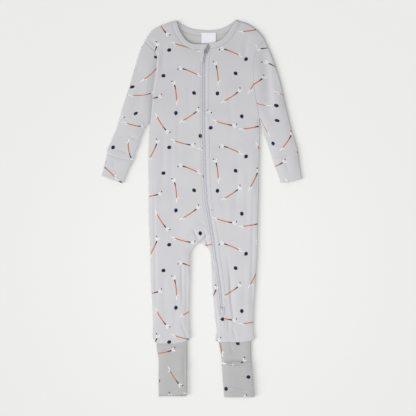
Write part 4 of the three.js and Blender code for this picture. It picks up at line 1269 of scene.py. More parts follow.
@dataclass(frozen=True)
class Woven:
    """Closely woven tape or satin. Lengths are in millimetres."""

    name: str
    light: tuple
    dark: tuple
    pitch: float
    roughness: float
    sheen: float
    specular: float = 0.3
    contrast: float = 0.3
    strength: float = 0.4
    relief: float = 0.1

    def build(self) -> bpy.types.Material:
        """Make the material."""
        finish = Finish(self.name, self.roughness, Sheen_Weight=self.sheen,
                        Specular_IOR_Level=self.specular)
        sketch = finish.sketch
        step = 2 * math.pi / self.pitch
        warp, weft = (sketch.math("SINE", sketch.math("MULTIPLY", way, step))
                      for way in sketch.parts(finish.chart()))
        share = sketch.math("MULTIPLY_ADD", sketch.math("MULTIPLY", warp, weft), self.contrast, 0.5)
        finish.color(sketch.mix(share, self.dark, self.light))
        finish.bump(share, self.strength, self.relief * MM)
        return finish.material


@dataclass(frozen=True)
class Solid:
    """A plain material with fine unevenness, for thread, nylon and enamel."""

    name: str
    light: tuple
    dark: tuple
    roughness: float
    metallic: float
    grain: float
    relief: float
    strength: float = 0.3

    def build(self) -> bpy.types.Material:
        """Make the material."""
        finish = Finish(self.name, self.roughness, Metallic=self.metallic)
        sketch = finish.sketch
        speckle = sketch.noise(finish.place(), self.grain, 3.0)
        finish.color(sketch.mix(speckle, self.dark, self.light))
        finish.bump(speckle, self.strength, self.relief * MM)
        return finish.material


@dataclass
class Finishes:
    """Every finish of the garment, made once."""

    materials: dict = field(default_factory=dict)

    def __post_init__(self) -> None:
        """Make the materials."""
        pattern = SprigPrint().group()
        light = srgb(204, 204, 206)
        dark = srgb(194, 194, 196)
        # The feet's knit is darker than the body's: painted shade.
        shaded_foot_light = srgb(184, 184, 184)
        shaded_foot_dark = srgb(175, 175, 175)
        # The inside knit is darker and warmer than the outer face: painted shade.
        shaded_inside_light = srgb(200, 199, 197)
        shaded_inside_dark = srgb(191, 190, 188)
        knits = (
            (Knit("printed_knit_front_left", light, dark), pattern),
            (Knit("printed_knit_front_right", light, dark, shift=(37.0, 61.0)), pattern),
            (Knit("printed_knit_back", light, dark, shift=(12.0, 130.0)), pattern),
            (Knit("printed_knit_sleeves", light, dark, shift=(58.0, 22.0)), pattern),
            (Knit("printed_knit_cuffs", light, dark, shift=(15.0, 77.0)), pattern),
            (Knit("printed_knit_feet_shaded", shaded_foot_light, shaded_foot_dark, shift=(70.0, 20.0)), pattern),
            (Knit("plain_knit_binding", light, dark), None),
            (Knit(SHADED_INSIDE_FINISH, shaded_inside_light, shaded_inside_dark), None),
        )
        for knit, used in knits:
            self.materials[knit.name] = knit.build(used)
        weaves = (
            Woven("zip_tape_weave", srgb(205, 205, 211), srgb(196, 196, 203), pitch=0.8, roughness=0.85,
                  sheen=0.1),
            Woven("label_satin", srgb(240, 239, 246), srgb(230, 229, 238), pitch=0.5, roughness=0.55,
                  sheen=0.2),
        )
        solids = (
            Solid("zip_nylon", srgb(204, 204, 211), srgb(196, 196, 204), roughness=0.5, metallic=0.0,
                  grain=0.6, relief=0.03),
            Solid("zip_enamel", srgb(172, 169, 176), srgb(150, 146, 154), roughness=0.4, metallic=0.3,
                  grain=0.8, relief=0.02),
            Solid("sewing_thread", srgb(176, 176, 180), srgb(160, 160, 165), roughness=0.8, metallic=0.0,
                  grain=3.0, relief=0.05),
        )
        for finish in (*weaves, *solids):
            self.materials[finish.name] = finish.build()

    def give(self, piece: bpy.types.Object, name: str) -> None:
        """Put a finish on a piece: printed cloth is plain inside, in a knit darkened by painted shade."""
        inside = SHADED_INSIDE_FINISH if name.startswith("printed") else name
        for slot, finish in enumerate((name, inside)):
            if slot < len(piece.data.materials):
                piece.data.materials[slot] = self.materials[finish]
            else:
                piece.data.materials.append(self.materials[finish])


# Sub-assemblies


@dataclass
class Workshop:
    """What every sub-assembly needs: the cut, the lie of the cloth and the finishes.

    The sizes of a sub-assembly's cloth are its wall and the rounding of its rim, in millimetres.
    """

    cut: Outline
    lie: Lie
    finishes: Finishes

    def hand_in(self, piece: bpy.types.Object, finish: str, slot: str, nodes: Sequence[str],
                body: Body = Body.GARMENT) -> None:
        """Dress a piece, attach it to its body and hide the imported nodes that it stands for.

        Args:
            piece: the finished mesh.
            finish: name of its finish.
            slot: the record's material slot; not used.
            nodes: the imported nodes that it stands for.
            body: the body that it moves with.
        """
        self.finishes.give(piece, finish)
        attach(piece, body.value)
        if nodes:
            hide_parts(*nodes)
        LOG.info("%s: %d faces", piece.name, len(piece.data.polygons))

    def declare_cut(self, piece: bpy.types.Object, grids: Sequence[Grid]) -> None:
        """State the size that a sheet was cut to, measured on its flat chart."""
        least = 0.0101
        places = np.concatenate([grid.chart.reshape(-1, 2) for grid in grids]) * MM
        width, length = (max(float(side), least) for side in places.max(0) - places.min(0))
        area = sum(grid.cut_area() for grid in grids) * MM**2
        LOG.info("%s: cut %.0f by %.0f mm, %.4f square metres", piece.name, width / MM, length / MM, area)

    def sew(self, name: str, grids: Sequence[Grid], sizes: tuple, looks: tuple, node: str,
            rests_on: Sequence[str]) -> None:
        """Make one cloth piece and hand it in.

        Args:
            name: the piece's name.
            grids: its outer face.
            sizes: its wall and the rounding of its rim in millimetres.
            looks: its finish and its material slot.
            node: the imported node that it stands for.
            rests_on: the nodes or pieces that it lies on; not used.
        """
        piece = cloth_object(name, grids, *sizes)
        self.hand_in(piece, *looks, [node])
        self.declare_cut(piece, grids)


@dataclass
class BodyPanels:
    """The back and the two fronts, whose leg parts the zip divides unevenly.

    Each cell of the solids is cut finer here, into across by down cells.
    """

    shop: Workshop
    across: int = 6
    down: int = 7
    back_across: int = 3
    back_down: int = 4
    left_cells: int = 12
    strip_cells: int = 3
    right_cells: int = 10
    shoulder_cells: int = 5
    right_shoulder_cells: int = 4
    back_cells: int = 18
    back_neck_cells: int = 8
    yoke_rows: int = 11
    torso_rows: int = 18
    leg_rows: int = 14
    leg_pace: float = 1.6
    zip_leg_rows: int = 10
    sizes: tuple = (1.3, 0.2)
    least_share: float = 0.5

    def _rows(self, down: int) -> tuple[int, int, int]:
        """Rows of the yoke, the torso and a leg, with each cell cut into down rows."""
        return self.yoke_rows * down, self.torso_rows * down, self.leg_rows * down

    def _at_zip(self, side: Side, y: float) -> tuple[float, float]:
        """The point of a folded edge beside the zip at a height on the page."""
        return float(self.shop.cut.zip_side(y, side)), y

    def _zip_edge(self, side: Side, top: Sequence[float], bottom: float) -> Edge:
        """A folded edge beside the zip, from a point down to a height on the page."""
        cut = self.shop.cut

        def edge(t: np.ndarray) -> np.ndarray:
            t = np.atleast_1d(np.asarray(t, float))
            y = top[1] + (bottom - top[1]) * t
            x = np.where(t == 0, top[0], cut.zip_side(y, side))
            return np.stack([x, y], -1)

        return edge

    def _zip_and_seam(self, side: Side, top: Sequence[float]) -> Edge:
        """The folded edge down the leg, then the seam below the zip."""
        cut = self.shop.cut
        shift = -cut.seam_gap / 2 if side is Side.LEFT else cut.seam_gap / 2
        first, second = ((self.zip_leg_rows + more) / self.leg_rows for more in (0, 1))
        first = first**self.leg_pace
        second = second**self.leg_pace
        edge = self._zip_edge(side, top, cut.zip_end)
        start = (cut.seam_top[0] + shift, cut.seam_top[1])
        seam = straight(start, (cut.seam_foot[0] + shift, cut.seam_foot[1]))
        join = straight(edge(np.ones(1))[0], start)
        return chain((edge, first), (join, second - first), (seam, 1 - second))

    def _hem(self, side: Side, cells: int) -> Edge:
        """A leg hem whose first and last cell turn in towards the foot."""
        rows = self.shop.cut.half(side).hem
        return chain((straight(rows[0], rows[1]), 1), (Curve(rows[1:-1]), cells - 2),
                     (straight(rows[-2], rows[-1]), 1))

    def _kept_inside(self, flat: np.ndarray) -> np.ndarray:
        """The strip's points, with none past the leg's inner edge, which bows."""
        inner = flat[1:-1, 1:-1]
        near, far = (np.interp(inner[..., 1], edge[:, 1], edge[:, 0])
                     for edge in (flat[::-1, 0], flat[::-1, -1]))
        share = np.linspace(0, 1, flat.shape[1])[1:-1]
        inner[..., 0] = np.maximum(inner[..., 0], near + self.least_share * share * (far - near))
        return flat

    def _sew_front(self, side: Side, flats: Sequence[np.ndarray]) -> None:
        """Make one front panel from its patches of the page."""
        grids = [front_grid(flat, self.shop.lie) for flat in flats]
        looks = (f"printed_knit_front_{side.value}", "printed_knit")
        self.shop.sew(f"front_{side.value}_cloth", grids, self.sizes, looks, f"front_{side.value}_panel",
                      ["back_panel"])

    def front_left(self) -> None:
        """Front left panel, with the strip along the right leg's inner side."""
        side = Side.LEFT
        cut = self.shop.cut
        left = self.left_cells
        strip = self.strip_cells
        cells = left + strip
        top = chain((cut.shoulder(side), self.shoulder_cells),
                    (cut.front_seam(side), cells - self.shoulder_cells))
        armpit = cut.left.underarm
        armpit_zip = self._at_zip(side, armpit[1])
        underarm = straight(armpit, armpit_zip)
        hip_zip = self._at_zip(side, cut.crotch[1])
        hip = straight(cut.left.hip, cut.crotch)
        bridge = straight(cut.crotch, hip_zip)
        corner, turned = cut.right.hem[:2]
        seam_end = (cut.seam_foot[0] - cut.seam_gap / 2, cut.seam_foot[1])
        strip_hem = chain((straight(corner, turned), 1), (straight(turned, seam_end), strip - 1))
        a = self.across
        yoke, torso, leg = self._rows(self.down)
        self._sew_front(side, [
            patch(top, underarm, cut.armhole(side), self._zip_edge(side, top(np.ones(1))[0], armpit[1]),
                  cells * a, yoke),
            patch(underarm, chain((hip, left), (bridge, strip)), cut.flank(side),
                  self._zip_edge(side, armpit_zip, cut.crotch[1]), cells * a, torso),
            patch(hip, self._hem(side, left), cut.leg_outer(side), cut.leg_inner(side), left * a, leg,
                  self.leg_pace),
            self._kept_inside(patch(bridge, strip_hem, cut.leg_inner(Side.RIGHT),
                                    self._zip_and_seam(side, hip_zip), strip * a, leg, self.leg_pace)),
        ])

    def front_right(self) -> None:
        """Front right panel, from the zip to the right side seam."""
        side = Side.RIGHT
        cut = self.shop.cut
        cells = self.right_cells
        top = chain((reverse(cut.front_seam(side)), cells - self.right_shoulder_cells),
                    (reverse(cut.shoulder(side)), self.right_shoulder_cells))
        armpit = cut.right.underarm
        armpit_zip = self._at_zip(side, armpit[1])
        underarm = straight(armpit_zip, armpit)
        hip_zip = self._at_zip(side, cut.crotch[1])
        hip = straight(hip_zip, cut.right.hip)
        seam_end = (cut.seam_foot[0] + cut.seam_gap / 2, cut.seam_foot[1])
        hem = chain((Curve([seam_end, *cut.right.hem[3:-1]]), cells - 1),
                    (straight(*cut.right.hem[-2:]), 1))
        a = self.across
        yoke, torso, leg = self._rows(self.down)
        self._sew_front(side, [
            patch(top, underarm, self._zip_edge(side, top(np.zeros(1))[0], armpit[1]), cut.armhole(side),
                  cells * a, yoke),
            patch(underarm, hip, self._zip_edge(side, armpit_zip, cut.crotch[1]), cut.flank(side),
                  cells * a, torso),
            patch(hip, hem, self._zip_and_seam(side, hip_zip), cut.leg_outer(side), cells * a, leg,
                  self.leg_pace),
        ])

    def back(self) -> None:
        """Back panel, one piece with both legs."""
        cut = self.shop.cut
        left, right = Side
        half = self.back_cells // 2
        shoulder = (self.back_cells - self.back_neck_cells) // 2
        top = chain((cut.shoulder(left), shoulder), (cut.back_seam(), self.back_neck_cells),
                    (reverse(cut.shoulder(right)), shoulder))
        underarm = straight(cut.left.underarm, cut.right.underarm)
        hips = [straight(cut.left.hip, cut.crotch), straight(cut.crotch, cut.right.hip)]
        a = self.back_across
        yoke, torso, leg = self._rows(self.back_down)
        flats = [
            patch(top, underarm, cut.armhole(left), cut.armhole(right), self.back_cells * a, yoke),
            patch(underarm, chain((hips[0], half), (hips[1], half)), cut.flank(left), cut.flank(right),
                  self.back_cells * a, torso),
            patch(hips[0], self._hem(left, half), cut.leg_outer(left), cut.leg_inner(left), half * a, leg,
                  self.leg_pace),
            patch(hips[1], self._hem(right, half), cut.leg_inner(right), cut.leg_outer(right), half * a,
                  leg, self.leg_pace),
        ]
        grids = [back_grid(flat, self.shop.lie) for flat in flats]
        self.shop.sew("back_cloth", grids, self.sizes, ("printed_knit_back", "printed_knit"),
                      "back_panel", ["floor"])

    def build(self) -> None:
        """Build the three panels."""
        self.back()
        self.front_left()
        self.front_right()


@dataclass
class Sleeves:
    """Two set-in sleeves with doubled cuffs."""

    shop: Workshop
    columns: int = 44
    rows: int = 110
    pace: float = 1.2
    cuff_rows: int = 18
    sizes: tuple = (1.3, 0.2)
    cuff_sizes: tuple = (1.35, 0.3)

    def _flat(self, side: Side) -> tuple[np.ndarray, np.ndarray]:
        """Points of the page for the sleeve and its cuff, from the left silhouette to the right one."""
        cut = self.shop.cut
        left = side is Side.LEFT
        gap = cut.seam_gap
        out = -gap if left else gap
        outer, inner = cut.cuff(side)
        armhole = cut.armhole(side)
        seam = cut.cuff_seam(side)
        end = bowed(outer(np.ones(1))[0], inner(np.ones(1))[0], cut.half(side).cuff_end_sag)
        sleeve_edges = (shifted(cut.sleeve_outer(side), out, 0), cut.sleeve_inner(side))
        cuff_edges = (outer, inner)
        if not left:
            armhole, seam, end = (reverse(edge) for edge in (armhole, seam, end))
            sleeve_edges = sleeve_edges[::-1]
            cuff_edges = cuff_edges[::-1]
        return (patch(shifted(armhole, out, 0), seam, *sleeve_edges, self.columns, self.rows, self.pace),
                patch(shifted(seam, 0, -gap), end, *cuff_edges, self.columns, self.cuff_rows))

    def build(self) -> None:
        """Build both sleeves and both cuffs."""
        for side in Side:
            sleeve, cuff = (tube_grid(flat, self.shop.lie, side is Side.LEFT)
                            for flat in self._flat(side))
            self.shop.sew(f"sleeve_{side.value}_cloth", [sleeve], self.sizes,
                          ("printed_knit_sleeves", "printed_knit"), f"sleeve_{side.value}", ["floor"])
            self.shop.sew(f"cuff_{side.value}_cloth", [cuff], self.cuff_sizes,
                          ("printed_knit_cuffs", "printed_rib"), f"sleeve_cuff_{side.value}", ["floor"])


@dataclass
class Feet:
    """Two feet: a tube below each leg hem, and a fold-over flap that closes it."""

    shop: Workshop
    columns: int = 36
    rows: int = 66
    layer: float = 1.7
    sizes: tuple = (1.3, 0.5)
    climb_from: float = 14
    climb: float = 22
    toe_turn: float = 1.4
    toe_gap: float = 0.3
    lip_gap: float = 0.4
    lip_round: float = 0.4
    lip_angles: tuple = (22, 45, 67, 90)
    lip_shares: tuple = (0.6, 0.8, 1.0)

    def _lift(self, y: np.ndarray) -> np.ndarray:
        """How far the left tube climbs over the flap that lies under it."""
        t = np.clip((self.shop.cut.mouth + self.climb_from - y) / self.climb, 0, 1)
        return self.layer * t * t * (3 - 2 * t)

    def _tube(self, side: Side) -> np.ndarray:
        """Points of the page for a foot tube."""
        cut = self.shop.cut
        left, right = cut.foot(side)
        seam = shifted(Curve(cut.half(side).hem[1:-1]), 0, -cut.seam_gap)
        share = (left.length - self.toe_turn - self.toe_gap) / left.length
        end = straight(left(np.array([share]))[0], right(np.array([share]))[0])
        sides = [lambda t, edge=edge: edge(np.asarray(t) * share) for edge in (left, right)]
        return patch(seam, end, *sides, self.columns, self.rows)

    def _flap(self, side: Side) -> Grid:
        """A flap from its mouth to the toe, with a lip that turns across the tube's end."""
        cut = self.shop.cut
        below = side is Side.LEFT
        toe = cut.toe(side)
        across = np.linspace(0, 1, self.columns + 1)
        down = np.linspace(0, 1, self.rows + 1)[:, None]
        mouth = cut.mouth - cut.mouth_dip * np.sin(np.pi * across)[None]
        y = mouth + (toe + self.toe_turn - mouth) * down
        left, right = (np.interp(y, edge.places[::-1, 1], edge.places[::-1, 0])
                       for edge in cut.foot(side))
        x = left + (right - left) * across[None]
        z = np.zeros_like(x) if below else self.shop.lie.top(x, y) + self.layer
        far = self.shop.lie.loft + self.layer - self.lip_gap if below else self.lip_gap
        rows = [np.stack([x, y, z], -1)]
        last = rows[0][-1]
        turns = [(toe + self.toe_turn * (1 - math.sin(angle)), self.lip_round * (1 - math.cos(angle)))
                 for angle in np.radians(self.lip_angles)]
        for lip_y, share in (*turns, *((toe, share) for share in self.lip_shares)):
            lip = last.copy()
            lip[:, 1] = lip_y
            lip[:, 2] = last[:, 2] + (far - last[:, 2]) * share
            rows.append(lip[None])
        places = np.concatenate(rows)
        return Grid(places, np.stack([places[..., 0], mouth - grid_run(places, 0)], -1), turned=below)

    def build(self) -> None:
        """Build both feet."""
        # The feet's finish is darkened by painted shade.
        looks = ("printed_knit_feet_shaded", "printed_rib")
        for side, lift, below_tube, below_flap in ((Side.LEFT, self._lift, "foot_flap_left", "floor"),
                                                   (Side.RIGHT, None, "floor", "foot_tube_right")):
            tube = tube_grid(self._tube(side), self.shop.lie, side is Side.LEFT, lift)
            self.shop.sew(f"foot_{side.value}_cloth", [tube], self.sizes, looks,
                          f"foot_tube_{side.value}", [below_tube])
            self.shop.sew(f"flap_{side.value}_cloth", [self._flap(side)], self.sizes, looks,
                          f"foot_flap_{side.value}", [below_flap])


@dataclass
class Neckline:
    """Neck binding, chin guard and the bare label inside the back neck.

    Each row of guard_rows has a height on the page, then X of the guard's left and right edge. The
    label's box is its left, right, top and bottom.
    """

    shop: Workshop
    sizes: tuple = (1.6, 0.25)
    across: int = 8
    front_cells: int = 60
    back_cells: int = 80
    puff: float = 0.2
    turn_by: float = 1.5
    turn_angles: tuple = (65, 40, 15, -15, -40, -65)
    guard_rows: tuple = ((344.2, -2.4, 12.6), (338, -2.4, 9.4), (332, -2.4, 5.4), (324, -2.4, 5),
                         (315, -2.3, 3.6), (308, -1.6, 2.6), (303.6, -0.4, 1.4))
    guard_sizes: tuple = (1.3, 0.25)
    guard_cells: tuple = (10, 40)
    guard_above: float = 0.35
    guard_bulge: float = 0.5
    label_box: tuple = (-0.4, 30, 369, 345.6)
    label_points: tuple = (17, 15)
    label_sizes: tuple = (0.7, 0.2)
    label_lift: float = 1.9
    label_curl: tuple = (0.9, 0.6, 0.4)

    def _band(self, neck: Curve, seam: Edge, t: np.ndarray) -> np.ndarray:
        """Points of the page across the binding, at shares t of the neckline."""
        reach = 1 - self.shop.cut.seam_gap / self.shop.cut.binding
        w = np.linspace(0, 1, self.across + 1)[None, :, None] * reach
        return neck(t)[:, None] + (seam(t) - neck(t))[:, None] * w

    def binding(self) -> None:
        """The band round the neck, which turns from the front to the back at each neck point."""
        cut = self.shop.cut
        lie = self.shop.lie
        puff = self.puff * np.sin(np.pi * np.linspace(0, 1, self.across + 1))[None]
        left, right = ((cut.front_neck(side), cut.front_seam(side)) for side in Side)
        back = (cut.neck_behind(), cut.back_seam())
        middle = (lie.front_at_seam + lie.back_at_seam) / 2
        half = (lie.front_at_seam - lie.back_at_seam) / 2

        def lying(part: tuple, t: np.ndarray) -> np.ndarray:
            """A stretch that lies flat, in front or behind."""
            flat = self._band(*part, t)
            x, y = flat[..., 0], flat[..., 1]
            return with_height(flat, lie.under(x, y) if part is back else lie.top(x, y) + puff)

        def turned(front: tuple, at_start: bool) -> np.ndarray:
            """The turn round a neck point, from the front to the back."""
            rounds = []
            for angle in self.turn_angles:
                neck, seam = front if angle > 0 else back
                end = 0.0 if angle > 0 or at_start else 1.0
                inward = self.turn_by / neck.length * (1 if end == 0 else -1)
                edge = self._band(neck, seam, np.array([end]))
                inside = self._band(neck, seam, np.array([end + inward]))
                phi = math.radians(angle)
                flat = inside + (edge - inside) * math.cos(phi)
                rounds.append(with_height(flat, np.full(flat.shape[:2], middle + half * math.sin(phi))))
            return np.concatenate(rounds)

        inset = [self.turn_by / part[0].length for part in (left, right, back)]
        places = np.concatenate([
            lying(left, np.linspace(1, inset[0], self.front_cells)),
            turned(left, True),
            lying(back, np.linspace(inset[2], 1 - inset[2], self.back_cells)),
            turned(right, False)[::-1],
            lying(right, np.linspace(inset[1], 1, self.front_cells)),
        ])
        run = grid_run(places, 0)[:, self.across // 2]
        wide = np.linspace(0, cut.binding, self.across + 1)
        chart = np.stack(np.meshgrid(run, -wide, indexing="ij"), -1)
        self.shop.sew("binding_cloth", [Grid(places, chart)], self.sizes,
                      ("plain_knit_binding", "binding"), "neck_binding",
                      ["front_left_cloth", "front_right_cloth", "back_cloth"])

    def chin_guard(self) -> None:
        """The folded tab over the top of the zip."""
        rows = np.array(self.guard_rows)
        across, down = self.guard_cells
        u = np.linspace(0, 1, across + 1)
        left, right = (Curve(rows[:, [k, 0]])(np.linspace(0, 1, down + 1)) for k in (1, 2))
        grid = front_grid(left[:, None] + (right - left)[:, None] * u[None, :, None], self.shop.lie)
        bulge = self.guard_bulge * np.sin(np.pi * u)
        grid.places[..., 2] += self.guard_sizes[0] + self.guard_above + bulge
        self.shop.sew("chin_guard_cloth", [grid], self.guard_sizes, ("plain_knit_binding", "binding"),
                      "chin_guard", ["front_left_cloth", "zip_tape_left"])

    def label(self) -> None:
        """The bare satin label, sewn on at its top edge and curling a little at its foot."""
        left, right, top, bottom = self.label_box
        u, v = (np.linspace(0, 1, points) for points in self.label_points)
        x, y = np.meshgrid(left + (right - left) * u, top + (bottom - top) * v)
        reach, level, wave = self.label_curl
        curl = reach * v[:, None] ** 2 * (level + wave * np.cos(2 * np.pi * u)[None])
        flat = np.stack([x, y], -1)
        z = self.shop.lie.under(x, y) + self.label_lift + self.label_sizes[0] + curl
        self.shop.sew("label_cloth", [Grid(with_height(flat, z), flat)], self.label_sizes,
                      ("label_satin", "label_cloth"), "neck_label", ["back_cloth"])

    def build(self) -> None:
        """Build the three pieces."""
        self.binding()
        self.chin_guard()
        self.label()


@dataclass
class Template:
    """A small shape that is modelled once and copied many times."""

    places: np.ndarray
    faces: np.ndarray

    @classmethod
    def of_object(cls, piece: bpy.types.Object) -> "Template":
        """Take the shape of an object, with triangles, and remove the object."""
        shape = bmesh.new()
        shape.from_mesh(piece.data)
        bmesh.ops.triangulate(shape, faces=shape.faces)
        places = np.array([vertex.co for vertex in shape.verts])
        faces = np.array([[vertex.index for vertex in face.verts] for face in shape.faces])
        shape.free()
        bpy.data.objects.remove(piece)
        return cls(places, faces)

    def copies(self, name: str, middles: Sequence[np.ndarray],
               ways: Sequence[np.ndarray]) -> bpy.types.Object:
        """Join an upright copy of the shape at every place.

        Args:
            name: the new object's name.
            middles: runs of places in millimetres.
            ways: runs of directions that the shape's X follows.

        Returns:
            The joined object.
        """
        middle = np.concatenate(middles) * MM
        way = np.concatenate(ways)
        way /= np.linalg.norm(way, axis=-1, keepdims=True)
        sides = np.cross((0.0, 0.0, 1.0), way)
        sides /= np.linalg.norm(sides, axis=-1, keepdims=True)
        axes = np.stack([way, sides, np.cross(way, sides)], 1)
        places = np.einsum("vk,nkc->nvc", self.places, axes) + middle[:, None]
        shift = np.arange(len(middle))[:, None, None] * len(self.places)
        faces = (self.faces[None] + shift).reshape(-1, 3)
        mesh = bpy.data.meshes.new(name)
        mesh.from_pydata(places.reshape(-1, 3).tolist(), [], faces.tolist())
        mesh.polygons.foreach_set("use_smooth", [True] * len(mesh.polygons))
        return add_object(name, mesh)


@dataclass
class Zip:
    """Both tapes and the closed coil."""

    shop: Workshop
    tape_top: float = 343
    tape_end: float = -220
    tape_rows: int = 280
    tape_columns: int = 9
    tape_sizes: tuple = (1.0, 0.2)
    tape_parting: float = 0.1
    layer: float = 1.4
    hidden: float = 4
    least_hidden: float = 0.6
    clear: float = 5
    narrowing: float = 0.2
    narrowings: int = 17
    ridge: float = 0.12
    ridge_place: float = 2.6
    ridge_width: float = 0.6
    coil_top: float = 321.5
    coil_end: float = -205
    first_turn: float = 0.6
    pitch: float = 1.3
    sunk: float = 0.05
    turn_radius: float = 0.31
    turn_long: float = 2.3
    turn_sides: int = 8
    turn_rim: float = 0.12
    turn_droop: float = 0.2
    turn_from_middle: float = 0.85
    turn_lean: float = 0.16

    def _tape(self, side: Side) -> None:
        """One tape, from the coil's edge to its hidden margin under the panel."""
        cut = self.shop.cut
        sign = -1 if side is Side.LEFT else 1
        y = np.linspace(self.tape_top, self.tape_end, self.tape_rows)
        middle = cut.zip_middle(y)
        inside = np.clip(y, cut.zip_end, cut.zip_top)
        visible = (cut.zip_side(inside, Side.RIGHT) - cut.zip_side(inside, Side.LEFT)) / 2
        reach = visible + self.hidden
        edges = self.shop.lie.edges
        for _ in range(self.narrowings):
            near = distance_to(edges, middle + sign * reach, y, self.shop.lie.edge_step) < self.clear
            reach = np.where(near & (reach > visible + self.least_hidden), reach - self.narrowing, reach)
        start = self.tape_parting
        distance = start + (reach[:, None] - start) * np.linspace(0, 1, self.tape_columns)[None]
        if sign < 0:
            distance = distance[:, ::-1]
        x = middle[:, None] + sign * distance
        rows = np.broadcast_to(y[:, None], x.shape)
        z = self.shop.lie.top(np.broadcast_to(middle[:, None], x.shape), rows) - self.layer
        ridge = self.ridge * np.exp(-(((distance - self.ridge_place) / self.ridge_width) ** 2))
        grid = Grid(np.stack([x, rows, z + ridge], -1), np.stack([x - middle[:, None], rows], -1))
        self.shop.sew(f"tape_{side.value}_cloth", [grid], self.tape_sizes, ("zip_tape_weave", "zip_tape"),
                      f"zip_tape_{side.value}", [f"front_{side.value}_cloth"])

    def _turn(self) -> Template:
        """Half a turn of the coil: a rod with rounded ends that droops at both."""
        remove_extras()
        bpy.ops.mesh.primitive_cylinder_add(vertices=self.turn_sides, radius=self.turn_radius * MM,
                                            depth=self.turn_long * MM, rotation=(0, math.pi / 2, 0))
        turn = bpy.context.object
        bpy.ops.object.transform_apply(location=False, rotation=True, scale=False)
        bpy.ops.object.mode_set(mode="EDIT")
        bpy.ops.mesh.select_all(action="SELECT")
        bpy.ops.mesh.bevel(offset=self.turn_rim * MM, segments=1, affect="EDGES")
        bpy.ops.object.mode_set(mode="OBJECT")
        for vertex in turn.data.vertices:
            vertex.co.z -= self.turn_droop * MM * (2 * vertex.co.x / (self.turn_long * MM)) ** 2
        return Template.of_object(turn)

    def _coil(self) -> None:
        """The closed coil: half turns from both sides that meet past the middle."""
        cut = self.shop.cut
        count = int((self.coil_top - self.coil_end) / self.pitch)
        middles = []
        ways = []
        for sign, start in ((-1, 0.0), (1, 0.5)):
            y = self.coil_top - self.first_turn - (np.arange(count - 1) + start) * self.pitch
            x = cut.zip_middle(y)
            slope = cut.zip_middle(y + 1) - cut.zip_middle(y - 1)
            z = self.shop.lie.top(x, y) - self.layer - self.sunk
            middles.append(np.stack([x + sign * self.turn_from_middle, y, z], -1))
            lean = self.turn_lean * sign - slope / 2
            ways.append(np.stack([np.ones_like(x), lean, np.zeros_like(x)], -1))
        piece = self._turn().copies("coil_turns", middles, ways)
        self.shop.hand_in(piece, "zip_nylon", "zip_nylon", ["zip_coil"])

    def build(self) -> None:
        """Build the tapes and the coil."""
        for side in Side:
            self._tape(side)
        self._coil()


